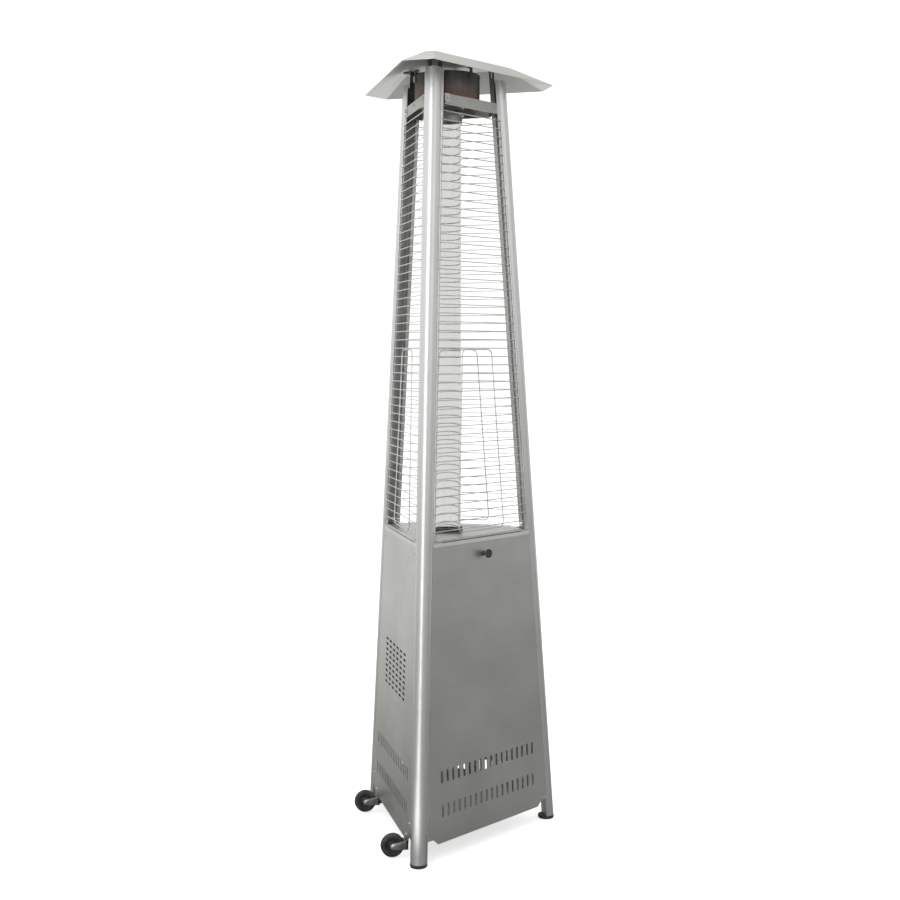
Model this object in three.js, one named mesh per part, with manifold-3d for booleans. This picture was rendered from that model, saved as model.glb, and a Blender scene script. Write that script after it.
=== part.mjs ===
// Three-sided glass-tube patio heater. Millimetres, +Z up, front (door) towards -Y.
// Everything is laid out round the tower's vertical axis. Three leaning posts stand at
// 210, 330 and 90 degrees, and the faces between them look towards 270, 150 and 30 degrees.
import * as THREE from 'three';
import { mergeVertices } from 'three/addons/utils/BufferGeometryUtils.js';
import Module from 'manifold-3d';

const wasm = await Module();
wasm.setup();

// ---- driving dimensions ----
const tower = { footRadius: 317, lean: 0.0735, seamZ: 918, topZ: 2228 };
const post = { radius: 23.5, wall: 1.8, arcSteps: 12 };
const lowerFlange = { face: 19.0, reach: 50, lowZ: 68 };
const bareFlange = { face: 19.0, reach: 16 };
const upperFlange = { face: 15.5, reach: 27 };
const foot = { radius: 24.5, height: 9.7, plugRadius: 20.6, plugTop: 22 };
const panel = { outer: 20.5, thickness: 1.2, edge: 14.3, bottomZ: 51, topZ: 889.5, chamferT: 214, chamferZ: 86 };
const slots = { count: 18, halfSpan: 197, width: 8, rows: [[124, 160], [220, 256]] };
const vents = { columns: 6, rows: 9, halfSpan: 126, width: 28, height: 7, lowZ: 430, highZ: 568 };
const basePlate = { z: 84, thickness: 2, rimTop: 98, face: 16.5, cornerGap: 22 };
const deck = { lowZ: 893, topZ: 905, thickness: 2, lipFace: 20.3, innerFace: 16.5, cornerGap: 22 };
const tray = { lowZ: 2129, topZ: 2159, thickness: 2, lipFace: 19.5, innerFace: 13.4, cornerGap: 20 };
const guard = { lowZ: 906, highZ: 2112, wires: 50, wire: 2.8, side: 4, back: 17.8, front: 20.3, edge: 15.8 };
const loop = { lowZ: 922, highZ: 1443, lowHalf: 94, highHalf: 61.5, wire: 4, corner: 16, back: 14.6 };
const tube = { outer: 41, wall: 2.5, lowZ: 917.5, topZ: 2112 };
const drum = { radius: 95, wall: 1.5, lowZ: 2159.3, topZ: 2234 };
const hood = { rimRadius: 310, rimHalf: 44, rimZ: 2217.5, topRadius: 187, topHalf: 15, topZ: 2266.5, sheet: 1.8 };
const wheel = { radius: 33.5, half: 11, hubRadius: 22, bore: 4.6, pin: 4, face: 57, along: 190, z: 36 };
const hinge = { face: 12, z: 62, pinRadius: 2.5, bore: 3.1, along: 150 };
const control = { z: 790, knobAt: -35, buttonAt: 45 };
const gap = 0.3;

const deg = Math.PI / 180;
const cos30 = Math.cos(30 * deg);
const corners = { front_left: 210, front_right: 330, rear: 90 };
const faces = { front: 270, left: 150, right: 30 };

const finish = {
  satinSteel: { color: 0xb9bab8, roughness: 0.35, metalness: 0.9 },
  brushedSteel: { color: 0x8f9089, roughness: 0.45, metalness: 0.9 },
  wire: { color: 0xc4c6c4, roughness: 0.3, metalness: 0.9 },
  hoodSheet: { color: 0xb4b4ae, roughness: 0.5, metalness: 0.6 },
  darkSteel: { color: 0x4a4a48, roughness: 0.6, metalness: 0.7 },
  heatTinted: { color: 0x5a4038, roughness: 0.6, metalness: 0.8 },
  glass: { color: 0xe4e8e6, roughness: 0.05, metalness: 0.0 },
  rubber: { color: 0x2a2a2a, roughness: 0.85, metalness: 0.0 },
  plastic: { color: 0x2e2e30, roughness: 0.5, metalness: 0.0 },
  zinc: { color: 0xa8aaa4, roughness: 0.4, metalness: 0.9 },
  brass: { color: 0xb08d4a, roughness: 0.35, metalness: 0.9 },
};

const heater = new THREE.Group();

// ---- helpers ----
function mesh(name, geometry, look, parent = heater) {
  const made = new THREE.Mesh(geometry, new THREE.MeshStandardMaterial(finish[look]));
  made.name = name;
  parent.add(made);
  return made;
}

function toSolid(geometry) {
  const bare = geometry.clone();
  bare.deleteAttribute('normal');
  bare.deleteAttribute('uv');
  const merged = mergeVertices(bare, 1e-3);
  const vertProperties = Float32Array.from(merged.attributes.position.array);
  const triVerts = Uint32Array.from(merged.index.array);
  return new wasm.Manifold(new wasm.Mesh({ numProp: 3, vertProperties, triVerts }));
}

function toGeometry(solid) {
  const result = solid.getMesh();
  const geometry = new THREE.BufferGeometry();
  geometry.setAttribute('position', new THREE.BufferAttribute(result.vertProperties, 3));
  geometry.setIndex(new THREE.BufferAttribute(result.triVerts, 1));
  return geometry;
}

function cut(body, ...tools) {
  const solid = tools.reduce((left, tool) => left.subtract(toSolid(tool)), toSolid(body));
  return toGeometry(solid);
}

function join(...bodies) {
  const solids = bodies.map(toSolid);
  return toGeometry(solids.reduce((sum, solid) => sum.add(solid)));
}

// distance from the tower's axis to a post's centre line at a height
function postAt(z) {
  return tower.footRadius - tower.lean * z;
}

// distance from the axis to the plane through two posts' centre lines
function faceAt(z) {
  return postAt(z) / 2;
}

// half the width between two posts' centre lines
function halfWidth(z) {
  return postAt(z) * cos30;
}

// Face frame: x along the face, y up the leaning face, z outwards from the post centre plane.
function faceFrame(angle) {
  const a = angle * deg;
  const along = new THREE.Vector3(-Math.sin(a), Math.cos(a), 0);
  const out = new THREE.Vector3(Math.cos(a), Math.sin(a), 0);
  const up = out.clone().multiplyScalar(-tower.lean / 2).setZ(1);
  return new THREE.Matrix4().makeBasis(along, up, out).setPosition(out.clone().multiplyScalar(faceAt(0)));
}

// Post frame: x outwards from the axis, y sideways, z up the leaning post.
function postFrame(angle) {
  const a = angle * deg;
  const out = new THREE.Vector3(Math.cos(a), Math.sin(a), 0);
  const side = new THREE.Vector3(-Math.sin(a), Math.cos(a), 0);
  const up = out.clone().multiplyScalar(-tower.lean).setZ(1);
  return new THREE.Matrix4().makeBasis(out, side, up).setPosition(out.clone().multiplyScalar(postAt(0)));
}

function outline(points) {
  return new THREE.Shape(points.map(([x, y]) => new THREE.Vector2(x, y)));
}

function rectangle(x0, y0, x1, y1) {
  return outline([[x0, y0], [x1, y0], [x1, y1], [x0, y1]]);
}

// A flat shape given thickness from one level to another.
function slab(shape, from, to, curveSegments = 8) {
  const geometry = new THREE.ExtrudeGeometry(shape, { depth: to - from, bevelEnabled: false, curveSegments });
  return geometry.translate(0, 0, from);
}

// A flat sheet with openings cut through it.
function piercedSheet(shape, openings, from, to) {
  const tools = openings.map((opening) => slab(opening, from - 5, to + 5));
  return cut(slab(shape, from, to), ...tools);
}

// A box between two opposite corners.
function block(x0, y0, z0, x1, y1, z1) {
  return slab(rectangle(x0, y0, x1, y1), z0, z1);
}

// A turned shape about the z axis, from [radius, z] pairs.
function turned(profile, segments = 24) {
  const points = profile.map(([r, z]) => new THREE.Vector2(r, z));
  return new THREE.LatheGeometry(points, segments).rotateX(Math.PI / 2);
}

function rod(radius, from, to, segments = 16) {
  return turned([[0, from], [radius, from], [radius, to], [0, to]], segments);
}

function ring(inner, outer, from, to, segments = 28) {
  return turned([[inner, from], [outer, from], [outer, to], [inner, to], [inner, from]], segments);
}

// ---- posts and feet ----
function postProfile(flange) {
  const inner = post.radius - post.wall;
  const outerEnd = 60 * deg + Math.acos(flange.face / post.radius);
  const innerEnd = 60 * deg + Math.acos((flange.face - post.wall) / inner);
  const flangeEnd = (face, side) => {
    const u = face * Math.cos(60 * deg) + flange.reach * Math.cos(150 * deg);
    const v = face * Math.sin(60 * deg) + flange.reach * Math.sin(150 * deg);
    return [u, side * v];
  };
  const arc = (radius, from, to) => {
    const points = [];
    for (let i = 0; i <= post.arcSteps; i += 1) {
      const a = from + ((to - from) * i) / post.arcSteps;
      points.push([radius * Math.cos(a), radius * Math.sin(a)]);
    }
    return points;
  };
  return outline([
    ...arc(post.radius, -outerEnd, outerEnd),
    flangeEnd(flange.face, 1),
    flangeEnd(flange.face - post.wall, 1),
    ...arc(inner, innerEnd, -innerEnd),
    flangeEnd(flange.face - post.wall, -1),
    flangeEnd(flange.face, -1),
  ]);
}

function addPost(corner, angle) {
  const frame = postFrame(angle);
  const flangeTop = deck.topZ - 1;
  const lower = join(
    slab(postProfile(bareFlange), foot.height + gap, lowerFlange.lowZ + 1),
    slab(postProfile(lowerFlange), lowerFlange.lowZ, flangeTop),
    slab(postProfile(upperFlange), flangeTop - 1, tower.seamZ),
  ).applyMatrix4(frame);
  const upper = slab(postProfile(upperFlange), tower.seamZ + gap, tower.topZ).applyMatrix4(frame);
  mesh(`lower_post_${corner}`, lower, 'satinSteel');
  mesh(`upper_post_${corner}`, upper, 'satinSteel');
  const cap = turned([
    [0, 0], [foot.radius - 2, 0], [foot.radius, 2], [foot.radius, foot.height],
    [foot.plugRadius, foot.height], [foot.plugRadius, foot.plugTop], [0, foot.plugTop],
  ], 20);
  const placed = mesh(`foot_cap_${corner}`, cap, 'rubber');
  const a = angle * deg;
  placed.position.set(postAt(foot.height) * Math.cos(a), postAt(foot.height) * Math.sin(a), 0);
}

// ---- plates across the tower ----
// Outline of a plate at one height: its edges lie `face` out from the post centre plane and its corners
// stop `cornerGap` short of the posts; a lip reaches out to `lipFace` along the clear part of each side.
function plateOutline(z, face, cornerGap, lipFace = face, lipHalf = 0) {
  const points = [];
  const edge = faceAt(z) + face;
  const cornerHalf = (edge * 2 - (postAt(z) - cornerGap)) / Math.sqrt(3);
  const cornerT = (postAt(z) - cornerGap) * cos30 - cornerHalf / 2;
  const side = [[-cornerT, face], [cornerT, face]];
  if (lipHalf > 0) {
    side.splice(1, 0, [-lipHalf, face], [-lipHalf, lipFace], [lipHalf, lipFace], [lipHalf, face]);
  }
  for (const angle of [30, 150, 270]) {
    const a = angle * deg;
    for (const [t, w] of side) {
      const out = faceAt(z) + w;
      points.push([out * Math.cos(a) - t * Math.sin(a), out * Math.sin(a) + t * Math.cos(a)]);
    }
  }
  return outline(points);
}

function addBasePlate() {
  const { z, thickness, rimTop, face, cornerGap } = basePlate;
  const outer = slab(plateOutline(rimTop, face, cornerGap), z, rimTop);
  const inside = slab(plateOutline(rimTop, face - 2, cornerGap + 2), z + thickness, rimTop + 5);
  mesh('base_plate', cut(outer, inside), 'brushedSteel');
}

// A plate with a folded-down rim and a round hole, used for the burner deck and the top tray.
function foldedPlate(plate, lipHalf, holeRadius) {
  const { lowZ, topZ, thickness, innerFace, lipFace, cornerGap } = plate;
  const outer = slab(plateOutline(topZ, innerFace, cornerGap, lipFace, lipHalf), lowZ, topZ);
  const inner = plateOutline(topZ, innerFace - 2, cornerGap + 2, lipFace - 2, lipHalf - 2);
  const inside = slab(inner, lowZ - 5, topZ - thickness);
  return cut(outer, inside, rod(holeRadius, lowZ - 5, topZ + 5, 28));
}

function addPlates() {
  addBasePlate();
  const deckLip = halfWidth(deck.topZ) - lowerFlange.reach - 2;
  mesh('burner_deck', foldedPlate(deck, deckLip, 36), 'brushedSteel');
  const trayLip = halfWidth(tray.topZ) - upperFlange.reach - 2;
  mesh('top_tray', foldedPlate(tray, trayLip, 43), 'brushedSteel');
}

// ---- lower panels and door ----
function panelShape() {
  const low = halfWidth(panel.chamferZ) - panel.edge;
  const high = halfWidth(panel.topZ) - panel.edge;
  return outline([
    [-panel.chamferT, panel.bottomZ], [panel.chamferT, panel.bottomZ], [low, panel.chamferZ],
    [high, panel.topZ], [-high, panel.topZ], [-low, panel.chamferZ],
  ]);
}

function slotShapes() {
  const pitch = (2 * slots.halfSpan - slots.width) / (slots.count - 1);
  const shapes = [];
  for (const [low, high] of slots.rows) {
    for (let i = 0; i < slots.count; i += 1) {
      const left = -slots.halfSpan + i * pitch;
      shapes.push(rectangle(left, low, left + slots.width, high));
    }
  }
  return shapes;
}

function ventShapes() {
  const stepT = (2 * vents.halfSpan - vents.width) / (vents.columns - 1);
  const stepZ = (vents.highZ - vents.lowZ - vents.height) / (vents.rows - 1);
  const shapes = [];
  for (let row = 0; row < vents.rows; row += 1) {
    for (let column = 0; column < vents.columns; column += 1) {
      const left = -vents.halfSpan + column * stepT;
      const low = vents.lowZ + row * stepZ;
      shapes.push(rectangle(left, low, left + vents.width, low + vents.height));
    }
  }
  return shapes;
}

function panelSheet(openings) {
  return piercedSheet(panelShape(), openings, panel.outer - panel.thickness, panel.outer);
}

function circle(x, y, radius) {
  return new THREE.Shape().absarc(x, y, radius, 0, Math.PI * 2, false);
}

function addPanels() {
  const vented = panelSheet([...slotShapes(), ...ventShapes()]);
  mesh('left_panel', vented.applyMatrix4(faceFrame(faces.left)), 'brushedSteel');
  const controls = [circle(control.knobAt, control.z, 6), circle(control.buttonAt, control.z, 9)];
  const drilled = panelSheet([...slotShapes(), ...controls]);
  mesh('right_panel', drilled.applyMatrix4(faceFrame(faces.right)), 'brushedSteel');
}

function doorLug(side) {
  const lug = block(-1.5, hinge.z - 6, 7, 1.5, hinge.z + 6, panel.outer - panel.thickness + 0.2);
  const bore = rod(hinge.bore, -10, 10).rotateY(Math.PI / 2).translate(0, hinge.z, hinge.face);
  return cut(lug, bore).translate(side * hinge.along, 0, 0);
}

function addDoor() {
  const inside = panel.outer - panel.thickness;
  const topHalf = halfWidth(panel.topZ) - lowerFlange.reach - 4;
  const hem = block(-topHalf, panel.topZ - 2.5, 8, topHalf, panel.topZ - 1, inside + 0.2);
  const sheet = join(panelSheet(slotShapes()), hem, doorLug(-1), doorLug(1));
  const frame = faceFrame(faces.front);
  mesh('door', sheet.applyMatrix4(frame), 'brushedSteel');

  const face = panel.outer + gap;
  const knob = turned([
    [0, face], [8, face], [8, face + 2], [5.5, face + 4], [5.5, face + 13], [12, face + 19],
    [13, face + 23], [11.5, face + 26], [0, face + 27],
  ], 20);
  mesh('door_knob', knob.translate(0, 853, 0).applyMatrix4(frame), 'plastic');

  const right = join(
    block(158, 57.5, 5, 161, basePlate.z - gap, 16),
    rod(hinge.pinRadius, 142, 158.5).rotateY(Math.PI / 2).translate(0, hinge.z, hinge.face),
    block(158, basePlate.z - gap - 2, -14, 176, basePlate.z - gap, 16),
  );
  const left = mirrorAlong(right);
  mesh('hinge_bracket_right', right.applyMatrix4(frame), 'zinc');
  mesh('hinge_bracket_left', left.applyMatrix4(frame), 'zinc');

  const magnet = join(
    block(-15, 862, 10, 15, 884, 18.8),
    block(-15, 862, 3, 15, 868, 11),
    block(-15, 862, 3, 15, deck.topZ - deck.thickness - gap, 6),
  );
  mesh('door_magnet', magnet.applyMatrix4(frame), 'darkSteel');
}

// The same solid on the other side of the face's middle line.
function mirrorAlong(geometry) {
  const mirrored = geometry.clone().scale(-1, 1, 1);
  const index = mirrored.index.array;
  for (let i = 0; i < index.length; i += 3) {
    const keep = index[i];
    index[i] = index[i + 1];
    index[i + 1] = keep;
  }
  return mirrored;
}

// ---- wire guards ----
function guardGrille() {
  const half = (z) => halfWidth(z) - guard.edge;
  const shape = outline([
    [-half(guard.lowZ), guard.lowZ], [half(guard.lowZ), guard.lowZ],
    [half(guard.highZ), guard.highZ], [-half(guard.highZ), guard.highZ],
  ]);
  const pitch = (guard.highZ - guard.lowZ - guard.wire) / (guard.wires - 1);
  const openings = [];
  for (let i = 0; i < guard.wires - 1; i += 1) {
    const low = guard.lowZ + i * pitch + guard.wire;
    const high = guard.lowZ + (i + 1) * pitch;
    const lowHalf = half(low) - guard.side;
    const highHalf = half(high) - guard.side;
    openings.push(outline([[-lowHalf, low], [lowHalf, low], [highHalf, high], [-highHalf, high]]));
  }
  return piercedSheet(shape, openings, guard.back, guard.front);
}

function roundedFrame(inset) {
  const { lowZ, highZ, lowHalf, highHalf, corner } = loop;
  const low = lowZ + inset;
  const high = highZ - inset;
  const a = lowHalf - inset;
  const b = highHalf - inset;
  const r = corner - inset;
  const shape = new THREE.Shape();
  shape.moveTo(-a + r, low);
  shape.lineTo(a - r, low);
  shape.quadraticCurveTo(a, low, a - r * 0.06, low + r);
  shape.lineTo(b + r * 0.06, high - r);
  shape.quadraticCurveTo(b, high, b - r, high);
  shape.lineTo(-b + r, high);
  shape.quadraticCurveTo(-b, high, -b - r * 0.06, high - r);
  shape.lineTo(-a + r * 0.06, low + r);
  shape.quadraticCurveTo(-a, low, -a + r, low);
  return shape;
}

function addGuards() {
  const wires = guardGrille();
  const brace = piercedSheet(roundedFrame(0), [roundedFrame(loop.wire)], loop.back, guard.back - gap);
  for (const [side, angle] of Object.entries(faces)) {
    mesh(`guard_${side}`, wires.clone().applyMatrix4(faceFrame(angle)), 'wire');
    mesh(`guard_brace_${side}`, brace.clone().applyMatrix4(faceFrame(angle)), 'wire');
  }
}

// ---- burner, glass tube and flame screen ----
function addBurner() {
  const under = deck.topZ - deck.thickness - gap;
  const bracket = cut(block(-62, -12, under - 2.7, 62, 12, under), rod(10.4, under - 10, under + 10, 20));
  mesh('burner_bracket', bracket, 'darkSteel');
  const burner = turned([
    [0, 862], [9.8, 862], [9.8, under + gap], [26, under + gap], [26, 926], [20, 932], [0, 932],
  ], 24);
  mesh('burner_head', burner, 'darkSteel');

  const probe = (radius, low, high, x, y) => {
    const out = Math.sign(y);
    const tab = block(-5, Math.min(y, out * 56), under - 2, 5, Math.max(y, out * 56), under);
    return join(rod(radius, low, high, 10).translate(x, y, 0), tab);
  };
  mesh('pilot_tube', probe(2.4, 872, 944, 0, 31), 'brass');
  mesh('thermocouple', probe(1.8, 868, 938, 0, -31), 'darkSteel');
  const electrode = probe(1.6, 880, 950, 0, 31).rotateZ(-55 * deg);
  mesh('spark_electrode', electrode, 'glass');

  mesh('tube_seal', ring(37.3, 46, deck.topZ + gap, tube.lowZ - gap), 'darkSteel');
  mesh('glass_tube', ring(tube.outer - tube.wall, tube.outer, tube.lowZ, tube.topZ), 'glass');
  mesh('tube_collar', ring(42.4, 49, 2099, tray.topZ - tray.thickness - gap), 'darkSteel');
  mesh('flame_screen', ring(drum.radius - drum.wall, drum.radius, drum.lowZ, drum.topZ, 36), 'heatTinted');
}

// ---- hood ----
function hoodCorners(radius, half, z) {
  const points = [];
  for (const angle of [30, 150, 270]) {
    for (const side of [-1, 1]) {
      const a = (angle + side * 60) * deg;
      const x = radius * Math.cos(a) + side * half * Math.sin(a);
      const y = radius * Math.sin(a) - side * half * Math.cos(a);
      points.push([x, y, z]);
    }
  }
  return points;
}

function addHood() {
  const { rimRadius, rimHalf, rimZ, topRadius, topHalf, topZ, sheet } = hood;
  const rings = [
    hoodCorners(rimRadius, rimHalf, rimZ - sheet),
    hoodCorners(rimRadius, rimHalf, rimZ),
    hoodCorners(topRadius, topHalf, topZ),
    hoodCorners(topRadius, topHalf, topZ - sheet),
  ];
  const index = [];
  for (let band = 0; band < 4; band += 1) {
    if (band === 2) continue;
    const here = band * 6;
    const next = ((band + 1) % 4) * 6;
    for (let i = 0; i < 6; i += 1) {
      const j = (i + 1) % 6;
      index.push(here + i, here + j, next + j, here + i, next + j, next + i);
    }
  }
  for (let i = 1; i < 5; i += 1) {
    index.push(12, 12 + i, 12 + i + 1);
    index.push(18, 18 + i + 1, 18 + i);
  }
  const geometry = new THREE.BufferGeometry();
  geometry.setAttribute('position', new THREE.Float32BufferAttribute(rings.flat(2), 3));
  geometry.setIndex(index);
  mesh('hood', geometry, 'hoodSheet');

  const tabTop = topZ - sheet - gap;
  for (const [corner, angle] of Object.entries(corners)) {
    const strap = piercedSheet(rectangle(-20, 2133, 20, tabTop), [rectangle(-9, 2236, 9, 2254)], 0, 2.7);
    const toPost = new THREE.Matrix4().makeBasis(
      new THREE.Vector3(0, 1, 0), new THREE.Vector3(0, 0, 1), new THREE.Vector3(1, 0, 0),
    ).setPosition(-19, 0, 0);
    const tab = block(-19, -26, tabTop - 2.5, 8, 26, tabTop);
    const bracket = join(strap.applyMatrix4(toPost), tab).applyMatrix4(postFrame(angle));
    mesh(`hood_bracket_${corner}`, bracket, 'darkSteel');
    const nut = mesh(`hood_nut_${corner}`, rod(6, topZ + gap, topZ + 6.5, 6), 'zinc');
    const a = angle * deg;
    nut.position.set(148 * Math.cos(a), 148 * Math.sin(a), 0);
  }
}

// ---- wheels ----
function forkGeometry() {
  const back = wheel.face - panel.outer + panel.thickness - gap;
  const leg = new THREE.Shape();
  leg.absarc(0, 0, 9, 100 * deg, 260 * deg, false);
  leg.lineTo(12, -13);
  leg.lineTo(back, -13);
  leg.lineTo(back, 13);
  leg.lineTo(12, 13);
  const eye = [circle(0, 0, wheel.pin + 0.5)];
  const toAxle = new THREE.Matrix4().makeBasis(
    new THREE.Vector3(0, 1, 0), new THREE.Vector3(0, 0, 1), new THREE.Vector3(1, 0, 0),
  );
  const inner = wheel.half + 2;
  const left = piercedSheet(leg, eye, -inner - 2.5, -inner).applyMatrix4(toAxle);
  const right = piercedSheet(leg, eye, inner, inner + 2.5).applyMatrix4(toAxle);
  const plate = block(-inner - 2.5, back - 2.5, -13, inner + 2.5, back, 13);
  return join(left, right, plate);
}

function addWheel(name, side) {
  const a = faces.left * deg;
  const out = faceAt(wheel.z) + wheel.face;
  const place = new THREE.Group();
  place.position.set(
    out * Math.cos(a) - side * wheel.along * Math.sin(a),
    out * Math.sin(a) + side * wheel.along * Math.cos(a),
    wheel.z,
  );
  place.rotation.z = a + Math.PI / 2;
  heater.add(place);

  const { radius, half, hubRadius, bore, pin } = wheel;
  const axleTurn = (geometry) => geometry.rotateY(Math.PI / 2);
  const tyre = turned([
    [hubRadius + gap, -half + 1.5], [radius - 4, -half], [radius - 1, -half + 2], [radius, -half + 5],
    [radius, half - 5], [radius - 1, half - 2], [radius - 4, half], [hubRadius + gap, half - 1.5],
    [hubRadius + gap, -half + 1.5],
  ], 24);
  mesh(`tyre_${name}`, axleTurn(tyre), 'rubber', place);
  const hub = turned([
    [bore, -half - 0.8], [9, -half - 0.8], [9, -half + 3], [hubRadius, -half + 3], [hubRadius, half - 3],
    [9, half - 3], [9, half + 0.8], [bore, half + 0.8], [bore, -half - 0.8],
  ], 20);
  mesh(`hub_${name}`, axleTurn(hub), 'plastic', place);
  const head = half + 2 + 2.5 + gap;
  const axle = turned([
    [0, -head - 3], [7, -head - 3], [7, -head], [pin, -head], [pin, head], [7, head], [7, head + 3], [0, head + 3],
  ], 16);
  mesh(`axle_${name}`, axleTurn(axle), 'zinc', place);
  mesh(`wheel_fork_${name}`, forkGeometry(), 'zinc', place);

  const mountTop = basePlate.z - gap;
  const mount = join(
    block(-17, 24, 14, 17, mountTop, panel.outer - panel.thickness - gap),
    block(-17, mountTop - 2, -18, 17, mountTop, 15),
  ).translate(side * wheel.along, 0, 0);
  mesh(`wheel_mount_${name}`, mount.applyMatrix4(faceFrame(faces.left)), 'darkSteel');
}

// ---- gas control on the right-hand face ----
function addControls() {
  const a = faces.right * deg;
  const along = new THREE.Vector3(-Math.sin(a), Math.cos(a), 0);
  const out = new THREE.Vector3(Math.cos(a), Math.sin(a), tower.lean / 2).normalize();
  const up = out.clone().cross(along);
  const place = new THREE.Group();
  place.setRotationFromMatrix(new THREE.Matrix4().makeBasis(along, up, out));
  const reach = faceAt(control.z) + panel.outer;
  place.position.set(reach * Math.cos(a), reach * Math.sin(a), control.z);
  heater.add(place);

  const openings = [circle(control.knobAt, 0, 6), circle(control.buttonAt, 0, 9)];
  mesh('control_plate', piercedSheet(rectangle(-80, -34, 80, 34), openings, gap, 2.3), 'plastic', place);
  const knob = mesh('control_knob', turned([
    [0, 19], [4.5, 19], [4.5, 7], [22, 7], [22, 11], [19, 24], [0, 24],
  ], 24), 'plastic', place);
  const spindle = mesh('valve_spindle', rod(4, -14, 18.6), 'brass', place);
  const valve = mesh('gas_valve', turned([
    [0, -60], [17, -60], [17, -12], [4.8, -12], [4.8, -21], [0, -21],
  ], 20), 'brass', place);
  for (const piece of [knob, spindle, valve]) piece.position.x = control.knobAt;
  const button = mesh('igniter_button', turned([
    [0, -8], [8, -8], [8, 7], [6.5, 8.5], [0, 8.5],
  ], 20), 'plastic', place);
  const igniter = mesh('igniter_body', turned([
    [0, -58], [9, -58], [9, -20], [12, -20], [12, -12.2], [0, -12.2],
  ], 20), 'plastic', place);
  for (const piece of [button, igniter]) piece.position.x = control.buttonAt;
  const inlet = mesh('gas_inlet', turned([[0, -48], [6, -48], [6, -30], [9, -30], [9, -17.4], [0, -17.4]], 6), 'brass', place);
  inlet.rotation.x = -Math.PI / 2;
  inlet.position.set(control.knobAt, 0, -40);

  place.updateMatrixWorld(true);
  const start = place.localToWorld(new THREE.Vector3(control.knobAt, 17.6, -40));
  const rise = place.localToWorld(new THREE.Vector3(control.knobAt, 34, -42));
  const route = new THREE.CatmullRomCurve3([
    start, rise, new THREE.Vector3(rise.x * 0.5, rise.y * 0.5, 838),
    new THREE.Vector3(8, 2, 843), new THREE.Vector3(0, 0, 850), new THREE.Vector3(0, 0, 861.6),
  ]);
  const section = new THREE.Shape().absarc(0, 0, 4, 0, Math.PI * 2, false);
  const pipe = new THREE.ExtrudeGeometry(section, { steps: 28, extrudePath: route, curveSegments: 4 });
  mesh('gas_pipe', pipe, 'brass');
}

function addTiltSwitch() {
  const top = deck.topZ - deck.thickness - gap;
  mesh('tilt_switch', block(-84, 20, top - 30, -58, 52, top), 'plastic');
}

// ---- assembly ----
for (const [corner, angle] of Object.entries(corners)) addPost(corner, angle);
addPlates();
addPanels();
addDoor();
addGuards();
addBurner();
addHood();
addWheel('front', 1);
addWheel('rear', -1);
addControls();
addTiltSwitch();

// The origin is on the floor under the middle of the whole object's box.
const box = new THREE.Box3().setFromObject(heater);
heater.position.set(-(box.min.x + box.max.x) / 2, -(box.min.y + box.max.y) / 2, 0);

export default heater;
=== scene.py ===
import math
import bpy
from mathutils import Matrix, Vector


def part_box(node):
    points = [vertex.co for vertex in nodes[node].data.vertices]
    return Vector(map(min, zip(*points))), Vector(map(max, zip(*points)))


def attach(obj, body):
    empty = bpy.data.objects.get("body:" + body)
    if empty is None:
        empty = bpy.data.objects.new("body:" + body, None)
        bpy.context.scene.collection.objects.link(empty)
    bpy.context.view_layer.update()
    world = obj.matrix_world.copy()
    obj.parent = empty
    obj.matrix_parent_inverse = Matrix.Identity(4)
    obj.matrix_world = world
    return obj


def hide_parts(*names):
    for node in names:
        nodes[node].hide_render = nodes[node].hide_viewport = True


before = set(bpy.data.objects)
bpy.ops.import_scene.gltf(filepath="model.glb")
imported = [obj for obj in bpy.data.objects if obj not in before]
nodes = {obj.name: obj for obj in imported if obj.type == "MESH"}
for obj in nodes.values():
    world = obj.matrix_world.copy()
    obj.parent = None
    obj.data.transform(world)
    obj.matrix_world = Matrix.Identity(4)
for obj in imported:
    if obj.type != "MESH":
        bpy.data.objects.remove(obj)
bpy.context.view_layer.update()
print("frame loaded:", len(nodes), "nodes")

# metres and degrees throughout; the three corners lean in towards the tube's axis
tower = {"footRadius": 0.317, "lean": 0.0735, "topZ": 2.228}
cornerAngles = {"front_left": 210, "front_right": 330, "rear": 90}
faceAngles = {"front": 270, "left": 150, "right": 30}
halfCorner = 30  # between a corner's direction and a face's

tubeLow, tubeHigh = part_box("glass_tube")
axis = Vector(((tubeLow[0] + tubeHigh[0]) / 2, (tubeLow[1] + tubeHigh[1]) / 2, 0))
onAxis = Matrix.Translation(axis)
tilt = math.atan(tower["lean"] / 2)


# places on the tower
def outward(angle):
    return Vector((math.cos(math.radians(angle)), math.sin(math.radians(angle)), 0))


def sideways(angle):
    return Vector((-math.sin(math.radians(angle)), math.cos(math.radians(angle)), 0))


def postRadius(z):
    return tower["footRadius"] - tower["lean"] * z


def halfWidth(z):
    return postRadius(z) * math.cos(math.radians(halfCorner))


def postCentre(angle, z):
    return axis + outward(angle) * postRadius(z) + Vector((0, 0, z))


# a leaning face's own frame: x along the face, y up its slope, z straight out of it
def faceMatrix(angle):
    along = sideways(angle)
    normal = outward(angle) * math.cos(tilt) + Vector((0, 0, math.sin(tilt)))
    up = normal.cross(along)
    matrix = Matrix((along, up, normal)).transposed().to_4x4()
    matrix.translation = axis + outward(angle) * tower["footRadius"] / 2
    return matrix


# t runs along the face, z is a height above the floor and w stands out of the face
def onFace(t, z, w):
    return Vector((t, z / math.cos(tilt) - w * math.sin(tilt), w * math.cos(tilt)))


def faceHeight(z, w=0):
    return onFace(0, z, w).y


def turnedTo(angle, spot):
    return Matrix.Translation(spot) @ Matrix.Rotation(math.radians(angle), 4, "Z")


def pointedTo(direction, spot):
    return Matrix.Translation(spot) @ direction.to_track_quat("Z", "Y").to_matrix().to_4x4()


# small steps used on every piece
def deselect():
    if bpy.context.object and bpy.context.object.mode != "OBJECT":
        bpy.ops.object.mode_set(mode="OBJECT")
    bpy.ops.object.select_all(action="DESELECT")


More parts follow.
